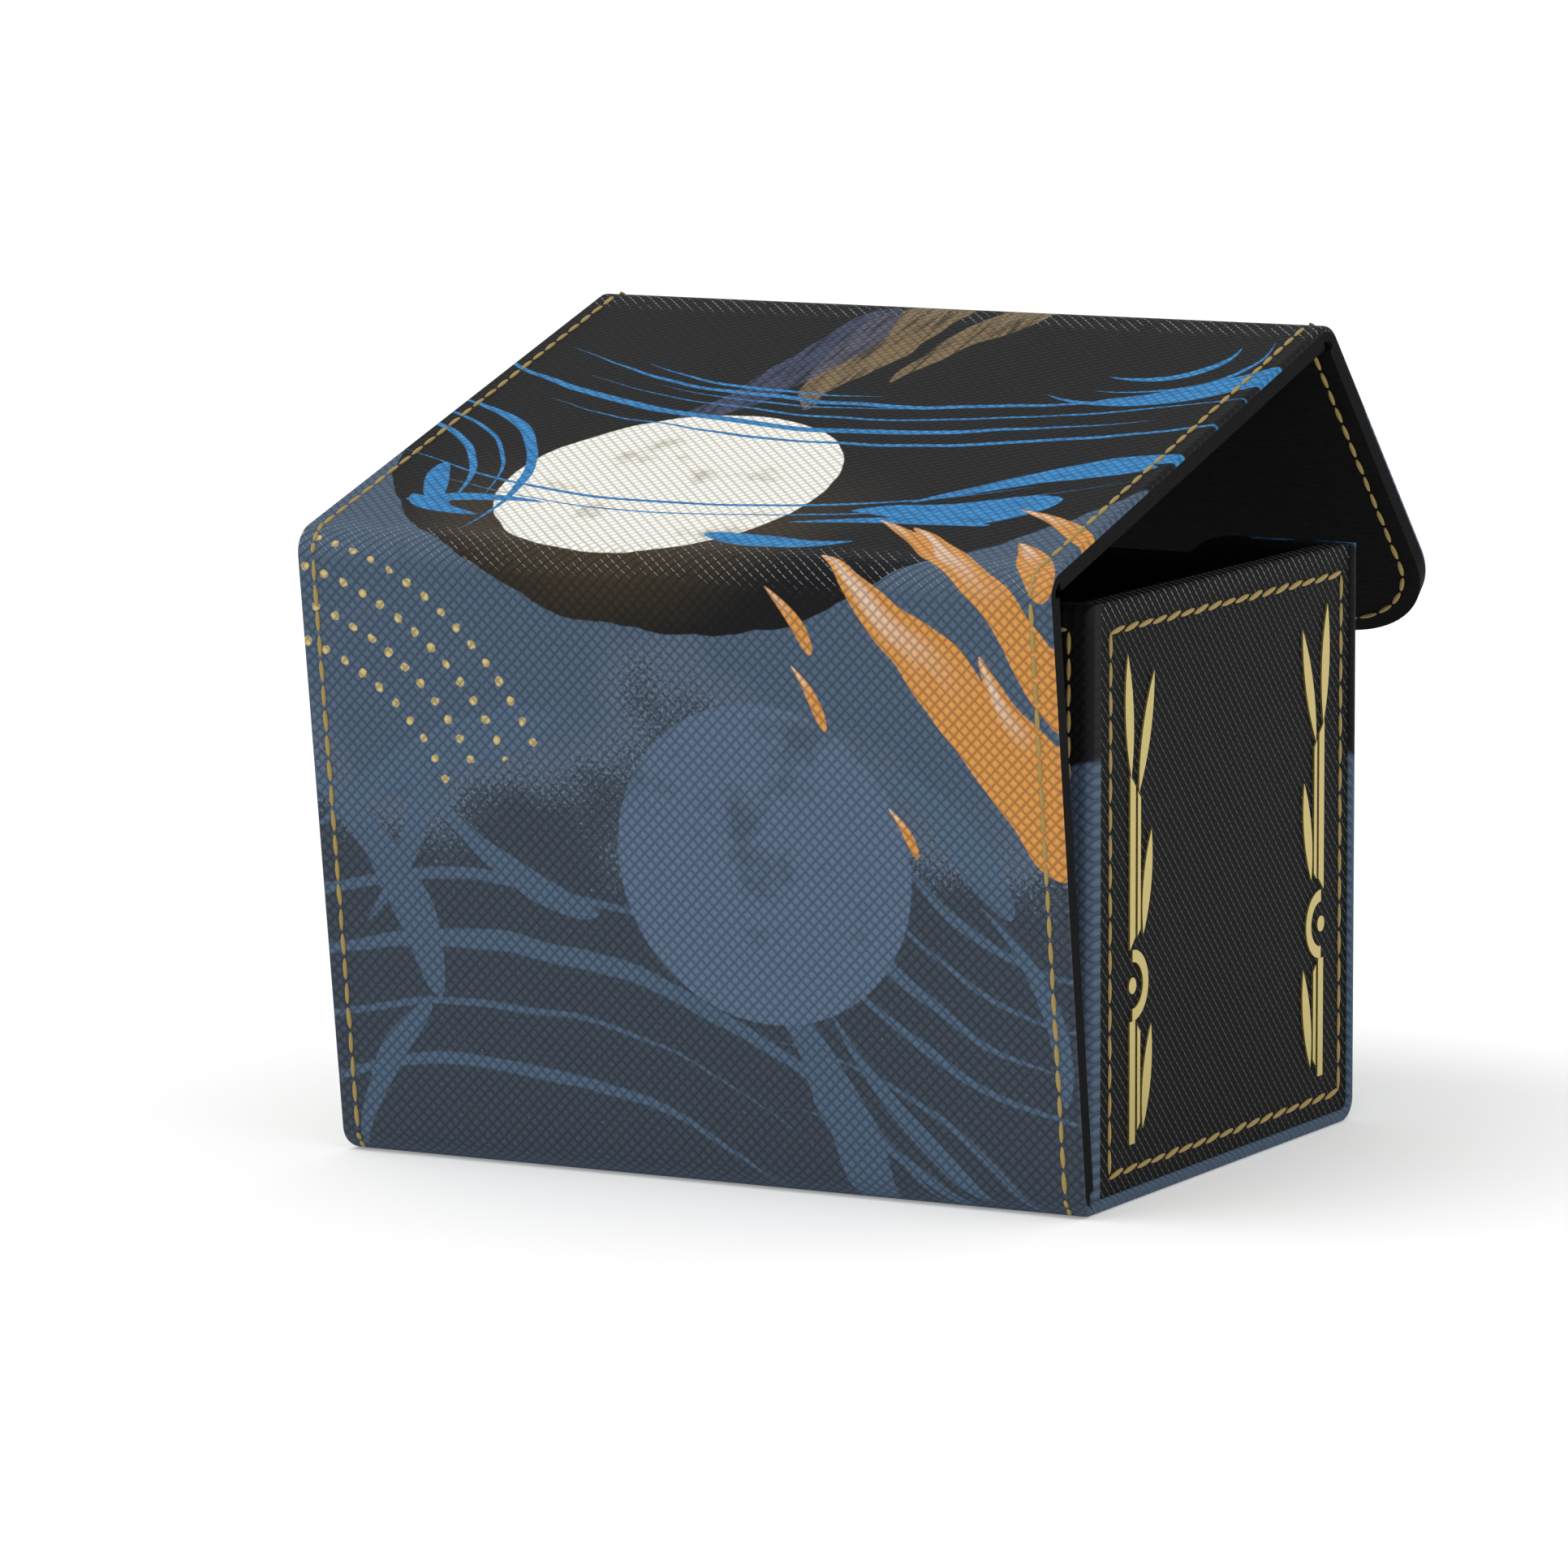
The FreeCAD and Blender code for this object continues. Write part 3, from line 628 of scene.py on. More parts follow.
def art_group(art: Artwork, parts: dict[str, bpy.types.NodeTree]) -> bpy.types.NodeTree:
    """Colour of the print at a place on the covering.

    Args:
        art: the design.
        parts: the disc, stroke, waves and dots groups.
    Returns:
        Group taking a print coordinate and giving the ink colour.
    """
    tree, w, given, out = new_group("printed_art", "ShaderNodeTree", [PLACE], [("Color", COLOUR)])
    vec = given["Vector"]
    v = w.split(vec)[1]

    def disc(item: Disc) -> bpy.types.Node:
        """Group node of a disc."""
        return w.group(parts["disc"], Vector=vec, Centre_X=item.x, Centre_Y=item.v, Radius=item.radius,
                       Wobble=item.wobble, Soft=item.soft)

    def stroke(item: Stroke) -> bpy.types.Node:
        """Group node of a stroke."""
        return w.group(parts["stroke"], Vector=vec, Centre_X=item.x, Centre_Y=item.v, Length=item.length,
                       Angle=math.radians(item.slope), Width=item.width, Bend=item.bend)

    def waves(items: Sequence[Waves]) -> bpy.types.NodeSocket:
        """Bands of several sets.

        Args:
            items: the sets of bands.
        Returns:
            Mask of all of them.
        """
        total = None
        for item in items:
            mask = w.group(parts["waves"], Vector=vec, Centre_X=item.x, Centre_Y=item.v, Inner=item.inner,
                           Outer=item.outer, Pitch=item.pitch, Share=item.share, Start=math.radians(item.start),
                           End=math.radians(item.end), Wobble=item.wobble, Taper=item.taper).outputs["Mask"]
            total = mask if total is None else w.math("MAXIMUM", total, mask)
        return total

    speckle = w.noise(vec, 2.4, 1.0, 0.6)
    cloud = w.add(w.noise(vec, 0.028, 3.0), w.mul(w.sub(50.0, v), 0.0085))
    front_only = w.step(v, *art.front_starts)
    deep = w.mul(w.step(cloud, 0.34, 0.60), 0.5)
    grain = w.step(w.add(speckle, w.sub(deep, 0.25)), 0.36, 0.60)
    shade = w.mul(w.step(cloud, 0.34, 0.56), front_only)
    colour = w.mix(shade, Ink.SLATE.rgba, w.mix(grain, Ink.SPECKLE.rgba, Ink.CHARCOAL.rgba))
    bands = waves(art.ground_waves)
    for item in art.ground_strokes:
        bands = w.math("MAXIMUM", bands, stroke(item).outputs["Mask"])
    colour = w.mix(w.mul(bands, 0.85), colour, Ink.SLATE_WAVE.rgba)

    moon = disc(art.moon)
    inner_cloud = w.step(w.noise(w.vector("ADD", vec, (31.0, 7.0, 2.0)), 0.085, 5.0, 0.62), 0.52, 0.66)
    moon_colour = w.mix(w.mul(inner_cloud, 0.5), Ink.PALE_DISC.rgba, Ink.CHARCOAL.rgba)
    colour = w.mix(moon.outputs["Mask"], colour, moon_colour)

    row = art.dots
    dots = w.group(parts["dots"], Vector=vec, Centre_X=row.x, Centre_Y=row.v, Inner=row.inner, Rows=row.rows,
                   Row_Pitch=row.row_pitch, Dot_Pitch=row.dot_pitch, Dot=row.dot, Start=math.radians(row.start),
                   End=math.radians(row.end))
    colour = w.mix(dots.outputs["Mask"], colour, Ink.GOLD.rgba)

    sun = disc(art.sun)
    far = w.sub(sun.outputs["Distance"], art.sun.radius)
    glow = w.mul(w.flip(w.step(far, 0.0, art.glow_reach)), w.step(w.sub(art.glow_top, v), -8.0, 22.0))
    sky = w.mix(glow, Ink.NIGHT.rgba, Ink.GLOW.rgba)
    streak = w.noise(w.vector("MULTIPLY", vec, (1.4, 0.10, 1.0)), 1.0, 3.0)
    for item, ink in zip(art.plumes, (Ink.TAN, Ink.STEEL, Ink.TAN)):
        made = stroke(item)
        tint = w.mix(w.mul(w.step(streak, 0.42, 0.7), 0.8), ink.rgba, Ink.NIGHT.rgba)
        sky = w.mix(w.mul(made.outputs["Mask"], 0.8), sky, tint)
    paper = w.mix(w.mul(w.step(w.noise(vec, 0.09, 3.0, 0.6), 0.56, 0.72), 0.5), Ink.CREAM.rgba, Ink.TAN.rgba)
    sky = w.mix(sun.outputs["Mask"], sky, paper)
    blue = waves(art.sky_waves)
    for item in art.sky_strokes:
        blue = w.math("MAXIMUM", blue, stroke(item).outputs["Mask"])
    ripple = w.step(w.noise(w.vector("MULTIPLY", vec, (0.25, 0.9, 1.0)), 1.0, 3.0), 0.35, 0.75)
    sky = w.mix(blue, sky, w.mix(w.mul(ripple, 0.7), Ink.WAVE.rgba, Ink.WAVE_DEEP.rgba))
    dark = w.math("MAXIMUM", disc(art.night).outputs["Mask"], disc(art.night_back).outputs["Mask"])
    swayed = w.add(v, w.mul(w.noise(vec, 0.05, 2.0), art.rear_night_sway))
    rear = w.flip(w.step(swayed, *art.rear_night_ends))
    colour = w.mix(w.math("MAXIMUM", dark, rear), colour, sky)
    patch = w.mul(w.step(w.noise(vec, 0.13, 3.0, 0.6), 0.44, 0.52), w.flip(w.step(v, *art.rear_patch_ends)))
    colour = w.mix(patch, colour, w.mix(ripple, Ink.WAVE.rgba, Ink.WAVE_DEEP.rgba))

    for item in art.flames:
        made = stroke(item)
        heart = w.below(w.math("ABSOLUTE", made.outputs["Across"]), 0.45, 0.3)
        tip = w.flip(w.step(made.outputs["Along"], -0.75, 0.1))
        flame = w.mix(w.mul(w.mul(heart, tip), 0.85), Ink.ORANGE.rgba, Ink.ORANGE_LIGHT.rgba)
        colour = w.mix(made.outputs["Mask"], colour, flame)
    w.put(out["Color"], colour)
    return tree


class Finishes:
    """Builds and keeps the materials."""

    # Colour of the painted shade in the weave's valleys and lines.
    WEAVE_SHADE_COLOUR = (0.004, 0.005, 0.007, 1.0)
    # Heights in millimetres where the painted highlight along the end leather's top bend comes in.
    TOP_BEND_Z = (70.5, 72.5)

    def __init__(self) -> None:
        """Builds the groups that the materials share."""
        self.weave = weave_group()
        self.ticks = highlight_ticks_group()
        parts = {"disc": disc_group(), "stroke": stroke_group(), "waves": waves_group(), "dots": dots_group()}
        self.art = art_group(Artwork(), parts)
        self.made: dict[str, bpy.types.Material] = {}

    @staticmethod
    def shell(name: str, coat: Coat) -> tuple[bpy.types.Material, TreeWriter, bpy.types.Node]:
        """New material with its constants set.

        Args:
            name: material name.
            coat: finish values.
        Returns:
            The material, its writer and its Principled node.
        """
        material = bpy.data.materials.new(name)
        material.use_nodes = True
        writer = TreeWriter(material.node_tree)
        surface = material.node_tree.nodes["Principled BSDF"]
        surface.inputs["Base Color"].default_value = linear(*coat.colour)
        surface.inputs["Roughness"].default_value = coat.roughness
        surface.inputs["Metallic"].default_value = coat.metallic
        surface.inputs["Specular IOR Level"].default_value = coat.specular
        surface.inputs["IOR"].default_value = coat.bending
        material.diffuse_color = linear(*coat.colour)
        return material, writer, surface

    @staticmethod
    def millimetres(w: TreeWriter) -> bpy.types.NodeSocket:
        """Place in the frame, in millimetres.

        Args:
            w: writer of the material's tree.
        Returns:
            The place.
        """
        place = w.vector("SCALE", w.node("ShaderNodeTexCoord").outputs["Object"])
        place.node.inputs["Scale"].default_value = 1 / MM
        return place

    @staticmethod
    def relief(w: TreeWriter, surface: bpy.types.Node, height: object, strength: float, depth_mm: float) -> None:
        """Adds a bump from a height to a surface.

        Args:
            w: writer of the material's tree.
            surface: its Principled node.
            height: socket that gives the height, 0 to about 1.
            strength: strength of the bump.
            depth_mm: depth in millimetres that a height of 1 stands for.
        """
        bump = w.node("ShaderNodeBump")
        bump.inputs["Strength"].default_value = strength
        bump.inputs["Distance"].default_value = depth_mm * MM
        w.put(bump.inputs["Height"], height)
        w.put(surface.inputs["Normal"], bump.outputs["Normal"])

    def plain(self, finish: Finish) -> bpy.types.Material:
        """Material of a single colour, made once.

        Args:
            finish: the finish wanted.
        Returns:
            Its material.
        """
        coat = finish.value
        if coat.name not in self.made:
            self.made[coat.name] = self.shell(coat.name, coat)[0]
        return self.made[coat.name]

    def print_at(self, name: str, place: Callable[[TreeWriter], bpy.types.NodeSocket]) -> bpy.types.Material:
        """Printed leather, with painted shade in the weave's valleys and lines and painted highlight ticks over
        the upper folds.

        Args:
            name: material name.
            place: writes the nodes that give the print coordinate in millimetres.
        Returns:
            The material.
        """
        material, w, surface = self.shell(name, Coat(name, (70, 92, 118), 0.6, specular=0.3, bending=1.25))
        vec = place(w)
        ink = w.group(self.art, Vector=vec).outputs["Color"]
        weave = w.group(self.weave, Vector=vec, Pitch=WEAVE_PITCH)
        ticks = w.group(self.ticks, Vector=vec, Pitch=WEAVE_PITCH)
        fibre = w.noise(vec, 3.2, 2.0, 0.6)
        # Shares of the painted shade in the weave's valleys and lines, of the random grain, and of the painted
        # highlight ticks.
        valley, line, grain, tick = 0.30, 0.26, 0.14, 0.8
        # Painted shade: the ink is darkened in the weave's valleys and lines.
        dip = w.add(w.mul(w.flip(weave.outputs["Height"]), valley), w.mul(weave.outputs["Lines"], line))
        shaded_ink = w.mix(dip, ink, self.WEAVE_SHADE_COLOUR)
        # Random grain, the leather's own tone, over the painted shade.
        wear_and_painted_light = w.mix(w.mul(w.step(fibre, 0.35, 0.75), grain), shaded_ink, (0.0, 0.0, 0.0, 1.0))
        # Painted highlight ticks over the upper folds, mixed into the colour.
        highlighted = w.mix(w.mul(ticks.outputs["Mask"], tick), wear_and_painted_light, Ink.BEND_HIGHLIGHT.rgba)
        w.put(surface.inputs["Base Color"], highlighted)
        w.put(surface.inputs["Roughness"], w.add(0.54, w.mul(fibre, 0.2)))
        height = w.add(weave.outputs["Height"], w.mul(fibre, 0.3))
        self.relief(w, surface, height, 0.5, 0.12)
        self.made[name] = material
        return material

    def end_leather(self) -> bpy.types.Material:
        """Black leather of the end walls, with short light dashes in slanting rows: the weave's ridges, their
        light painted in as highlights, more so along the top bend.

        Returns:
            The material.
        """
        coat = Finish.END_LEATHER.value
        material, w, surface = self.shell(coat.name, coat)
        place = self.millimetres(w)
        x, y, z = w.split(place)
        reach = w.math("ABSOLUTE", x)
        half_width, half_length, slant, row_shift = 0.045, 0.39, math.sqrt(0.5) / DASH_PITCH, 0.5
        across = w.mul(w.add(w.add(y, z), reach), slant)
        along = w.mul(w.sub(w.sub(y, z), reach), slant)
        line = w.below(w.off_middle(across), half_width, 0.04)
        piece = w.off_middle(w.add(along, w.mul(w.math("FLOOR", across), row_shift)))
        # The weave's ridges; the light colour they get below is painted highlight.
        dash = w.mul(line, w.below(piece, half_length, 0.06))
        fibre = w.noise(place, 2.4, 2.0, 0.6)
        ground = w.mix(w.step(fibre, 0.3, 0.8), linear(9, 10, 11), linear(22, 23, 23))
        # Painted highlight: the dashes are lighter along the top bend of the end walls.
        wear_and_painted_light = w.add(0.4, w.mul(w.step(z, *self.TOP_BEND_Z), 0.5))
        w.put(surface.inputs["Base Color"], w.mix(w.mul(dash, wear_and_painted_light), ground, linear(150, 152, 152)))
        height = w.add(w.mul(dash, 0.8), w.mul(w.step(w.math("PINGPONG", across, 0.5), 0.0, 0.4), 0.5))
        self.relief(w, surface, height, 0.2, 0.12)
        self.made[coat.name] = material
        return material

    def lining(self) -> bpy.types.Material:
        """Black cloth of the linings and edge bands, with fine level lines.

        Returns:
            The material.
        """
        coat = Finish.LINING.value
        material, w, surface = self.shell(coat.name, coat)
        place = self.millimetres(w)
        fine = w.noise(w.vector("MULTIPLY", place, (0.35, 3.0, 3.0)), 1.3, 3.0, 0.6)
        w.put(surface.inputs["Base Color"], w.mix(w.step(fine, 0.3, 0.75), linear(5, 5, 5), linear(18, 18, 18)))
        self.relief(w, surface, fine, 0.35, 0.10)
        self.made[coat.name] = material
        return material

    def foil(self) -> bpy.types.Material:
        """Gold foil with a slightly uneven sheen.

        Returns:
            The material.
        """
        coat = Finish.FOIL.value
        material, w, surface = self.shell(coat.name, coat)
        place = w.node("ShaderNodeTexCoord").outputs["Object"]
        sheen = w.noise(place, 420.0, 2.0)
        w.put(surface.inputs["Roughness"], w.add(0.20, w.mul(sheen, 0.14)))
        self.made[coat.name] = material
        return material


# ---------------------------------------------------------------- mesh building
Point = tuple[float, float]


@dataclass(frozen=True)
class Station:
    """Place along the covering: print height, outer point and outward normal in (y, z), share of its fold."""
    v_mm: float
    point: Point
    normal: Point
    share: float = 0.0

    def at(self, x: float, depth: float) -> Vector:
        """Point at a width and a depth below the outer surface."""
        return Vector((x, self.point[0] - self.normal[0] * depth, self.point[1] - self.normal[1] * depth))


def turned(direction: Point, angle: float) -> Point:
    """Direction turned clockwise in the (y, z) plane by an angle in radians."""
    c, s = math.cos(angle), math.sin(angle)
    return direction[0] * c + direction[1] * s, -direction[0] * s + direction[1] * c


def add_object(name: str, mesh: bpy.types.Mesh) -> bpy.types.Object:
    """Links a new object at the origin."""
    made = bpy.data.objects.new(name, mesh)
    bpy.context.scene.collection.objects.link(made)
    return made


def sweep(name: str, stations: Sequence[Station], section: Callable[[Station], list[tuple[float, float, float]]],
          material: bpy.types.Material) -> bpy.types.Object:
    """Closed solid that follows the covering.

    Args:
        name: piece name.
        stations: places along the covering.
        section: gives the loop of (x, depth, print x) at a station, metres and millimetres.
        material: finish.
    Returns:
        The new object with the print coordinate as its UV map.
    """
    loops = [section(s) for s in stations]
    count = len(loops[0])
    mesh = bpy.data.meshes.new(name)
    build = bmesh.new()
    layer = build.loops.layers.uv.new(WRAP_UV)
    rings = [[build.verts.new(s.at(x, depth)) for x, depth, _ in loop] for s, loop in zip(stations, loops)]
    place = {}
    for s, loop, ring in zip(stations, loops, rings):
        for vertex, (_, _, u) in zip(ring, loop):
            place[vertex] = (u, s.v_mm)
    for a, b in zip(rings, rings[1:]):
        for i in range(count):
            j = (i + 1) % count
            build.faces.new((a[i], a[j], b[j], b[i]))
    build.faces.new(rings[0])
    build.faces.new(rings[-1])
    bmesh.ops.recalc_face_normals(build, faces=build.faces)
    for face in build.faces:
        face.smooth = True
        for corner in face.loops:
            corner[layer].uv = place[corner.vert]
    build.to_mesh(mesh)
    build.free()
    mesh.set_sharp_from_angle(angle=math.radians(40))
    mesh.materials.append(material)
    return add_object(name, mesh)


# ---------------------------------------------------------------- the cover's chain of panels and folds
@dataclass(frozen=True)
class Fold:
    """One fold of the covering at rest."""
    name: str
    before: str
    crease: str
    after: str
    start: Point
    normal: Point
    turn: float
    radius: float
    first_share: float
    v_mm: float
    v_length_mm: float

    def station(self, share: float) -> Station:
        """Station in the fold.

        Args:
            share: share of the fold's turn, 0 to 1.
        Returns:
            The station.
        """
        normal = turned(self.normal, self.turn * share)
        centre = (self.start[0] - self.normal[0] * self.radius, self.start[1] - self.normal[1] * self.radius)
        point = (centre[0] + normal[0] * self.radius, centre[1] + normal[1] * self.radius)
        return Station(self.v_mm + self.v_length_mm * share, point, normal, share)

    @property
    def end(self) -> Station:
        """Station where the next panel begins."""
        return self.station(1.0)


@dataclass(frozen=True)
class Panel:
    """Flat panel of the cover at rest."""
    body: str
    start: Point
    direction: Point
    normal: Point
    v_mm: float
    length: float

    def station(self, along: float) -> Station:
        """Station at a distance along the panel."""
        return Station(self.v_mm + along / MM, (self.start[0] + self.direction[0] * along,
                                                self.start[1] + self.direction[1] * along), self.normal)


@dataclass
class Covering:
    """The one-piece covering: its folds and panels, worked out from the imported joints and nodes."""
    leather: float = 0.7 * MM
    thickness: float = 2.8 * MM
    edge_radius: float = 0.6 * MM
    strip_thickness: float = 1.6 * MM
    bead_radius: float = 0.7 * MM
    hinge_inset: float = 0.9 * MM
    crease_dip: float = 0.85 * MM
    crease_run_in: float = 0.07
    flap_length: float = 56.5 * MM
    corner_radius: float = 14.0 * MM
    segments: int = 40

    def __post_init__(self) -> None:
        """Works out the folds and panels from the front wall's foot to the flap."""
        joints = {j["name"]: j for j in frame["joints"]}
        low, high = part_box("covering_strip")
        self.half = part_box("cover_leather")[1].x
        self.strip_half = high.x
        self.front = joints["cover_swing"]["pos_m"][1] - self.hinge_inset
        fold = low.y - self.front
        axes = [joints[n]["pos_m"] for n in ("cover_swing", "lid_closing", "flap_closing")]
        height, depth = (math.dist(a, b) + 2 * self.hinge_inset for a, b in zip(axes, axes[1:]))
        closing = [-joints[n]["range_deg"][0] for n in ("cover_closing", "lid_closing", "flap_closing")]
        bodies = [("root", "cover_crease", "front_cover"), ("front_cover", "lid_crease", "lid"),
                  ("lid", "flap_crease", "flap")]
        lengths = [height - 2 * fold, depth - 2 * fold, self.flap_length - fold]
        names = ("cover", "lid", "flap")
        point, direction, v_mm = (low.y, 0.0), (-1.0, 0.0), -fold / MM
        self.folds: list[Fold] = []
        self.panels: list[Panel] = []
        for name, (before, crease, after), closed_by, length in zip(names, bodies, closing, lengths):
            turn = math.radians(90 - closed_by)
            reach = fold - self.hinge_inset + self.hinge_inset * math.tan(turn / 2)
            share = closed_by / 90
            made = Fold(name, before, crease, after, point, (-direction[1], direction[0]), turn,
                        reach / math.tan(turn / 2), share if name != "cover" else 1 - share, v_mm, 2 * fold / MM)
            self.folds.append(made)
            direction = turned(direction, turn)
            point, v_mm = made.end.point, v_mm + made.v_length_mm
            panel = Panel(after, point, direction, made.end.normal, v_mm, length)
            self.panels.append(panel)
            point, v_mm = panel.station(length).point, v_mm + length / MM

    # -- sections
    def widths(self, station: Station, fold: Fold) -> tuple[float, float, float, float, float]:
        """Sizes of the covering's section in a fold.

        Args:
            station: place in the fold.
            fold: the fold.
        Returns:
            Half width, leather depth, whole depth, edge radius and inner rounding.
        """
        run_out = self.crease_dip * min(1.0, (1.0 - station.share) / self.crease_run_in)
        if fold.name != "cover":
            dip = min(run_out, self.crease_dip * station.share / self.crease_run_in)
            return self.half, self.leather, self.thickness - dip, self.edge_radius, 0.01 * MM
        share = min(1.0, station.share * 1.25)
        ease = share * share * (3 - 2 * share)

        def between(a: float, b: float) -> float:
            """Value between the strip's and the cover's."""
            return a + (b - a) * ease
        return (between(self.strip_half, self.half), between(self.strip_thickness, self.leather),
                between(self.strip_thickness, self.thickness - run_out),
                between(self.bead_radius, self.edge_radius), between(self.bead_radius, 0.01 * MM))

    def leather_section(self, fold: Fold) -> Callable[[Station], list[tuple[float, float, float]]]:
        """Section of the printed leather: flat outside, rounded edges, closed underneath.

        Args:
            fold: the fold that it is swept round.
        Returns:
            Function giving the loop of (x, depth, print x) at a station.
        """
        def section(station: Station) -> list[tuple[float, float, float]]:
            """Loop of the leather.

            Args:
                station: place in the fold.
            Returns:
                Points of (x, depth, print x).
            """
            half, depth, _, radius, inner = self.widths(station, fold)
            steps = 6
            side = []
            for i in range(steps + 1):
                a = math.pi / 2 * i / steps
                side.append((half - radius + radius * math.sin(a), radius - radius * math.cos(a),
                             (half - radius + radius * a) / MM))
            bottom = max(depth, radius + inner * 0.5 + 0.01 * MM)
            side.append((half, bottom - inner, (half + radius * 0.57) / MM))
            side.append((half - inner, bottom, (half + radius * 0.57) / MM))
            mirrored = [(-x, d, -u) for x, d, u in reversed(side)]
            return mirrored + side
        return section

    def band_section(self, fold: Fold) -> Callable[[Station], list[tuple[float, float, float]]]:
        """Section of the cloth-covered core under the leather.

        Args:
            fold: the fold that it is swept round.
        Returns:
            Function giving the loop of (x, depth, print x) at a station.
        """
        def section(station: Station) -> list[tuple[float, float, float]]:
            """Loop of the core.

            Args:
                station: place in the fold.
            Returns:
                Points of (x, depth, print x).
            """
            half, top, bottom, _, _ = self.widths(station, fold)
            corner = 0.25 * MM
            right = [(half, top), (half, bottom - corner), (half - corner, bottom)]
            loop = [(-x, d) for x, d in reversed(right)] + right
            return [(x, d, x / MM) for x, d in loop]
        return section

    def build(self, finishes: Finishes, print_uv: bpy.types.Material) -> None:
        """Folding leather and edge bands of the three folds.

        Args:
            finishes: the materials.
            print_uv: printed leather laid out by the UV map.
        """
        cloth = finishes.made[Finish.LINING.value.name]
        for fold in self.folds:
            parts = (("a", 0.0, fold.first_share, fold.before, fold.crease),
                     ("b", fold.first_share, 1.0, fold.crease, fold.after))
            for tag, low, high, first, second in parts:
                steps = max(4, round(self.segments * (high - low)))
                shares = [low + (high - low) * i / steps for i in range(steps + 1)]
                stations = [fold.station(s) for s in shares]
                start, end = stations[0].at(0, 0), stations[-1].at(0, 0)
                skin = sweep(f"{fold.name}_fold_leather_{tag}", stations, self.leather_section(fold), print_uv)
                self.hand_over(skin, fold, first, second, start, end, "printed_leather")
                thick = [s for s in stations if self.widths(s, fold)[2] - self.widths(s, fold)[1] > 0.2 * MM]
                band = sweep(f"{fold.name}_fold_band_{tag}", thick, self.band_section(fold), cloth)
                self.hand_over(band, fold, first, second, start, end, "black_lining")

    @staticmethod
    def hand_over(piece: bpy.types.Object, fold: Fold, first: str, second: str, start: Vector, end: Vector,
                  slot: str) -> None:
        """Bakes a folding piece's placement into its mesh, hides the CAD fold that it replaces and logs it.

        Args:
            piece: the folding piece.
            fold: its fold.
            first, second: the bodies before and after its joint.
            start, end: where it leaves the first body and where it reaches the second; end is not used.
            slot: name of a material slot; not used.
        """
        tuple(start)
        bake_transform(piece)
        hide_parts(f"{fold.name}_fold")
        log.info("built %s: %d faces, bends from %s to %s", piece.name, len(piece.data.polygons), first, second)


# ---------------------------------------------------------------- stitching
@dataclass(frozen=True)
class Run:
    """Line of stitches: its points, the way it faces, and its pitch rule."""
    points: tuple[Vector, ...]
    facings: tuple[Vector, ...]

    def trimmed(self, pitch: float, up: bool) -> tuple[list[Vector], list[Vector], int]:
        """Run shortened by half a stitch at both ends.

        Args:
            pitch: wanted stitch pitch.
            up: True rounds the number of stitches up, for short curved runs.
        Returns:
            Points, facings and the number of stitches.
        """
        lengths = [0.0]
        for a, b in zip(self.points, self.points[1:]):
            lengths.append(lengths[-1] + (b - a).length)
        total = lengths[-1]
        count = max(1, math.ceil(total / pitch) if up else round(total / pitch))
        step = total / count
        marks = [step / 2] + [m for m in lengths if step / 2 < m < total - step / 2] + [total - step / 2]
        if count == 1:
            marks = [total / 2 - 0.01 * MM, total / 2 + 0.01 * MM]
        places, faces = [], []
        for mark in marks:
            i = max(j for j in range(len(lengths) - 1) if lengths[j] <= mark)
            share = (mark - lengths[i]) / (lengths[i + 1] - lengths[i])
            places.append(self.points[i].lerp(self.points[i + 1], share))
            faces.append(self.facings[i].lerp(self.facings[i + 1], share).normalized())
        return places, faces, count


@dataclass(frozen=True)
class Seam:
    """Stitches of one body: its runs and their sizes."""
    name: str
    runs: tuple[Run, ...]
    pitch: float = 3.2 * MM
    slant: float = 0.0
    round_up: bool = False
    width: float = 0.62 * MM
    fill: float = 0.9


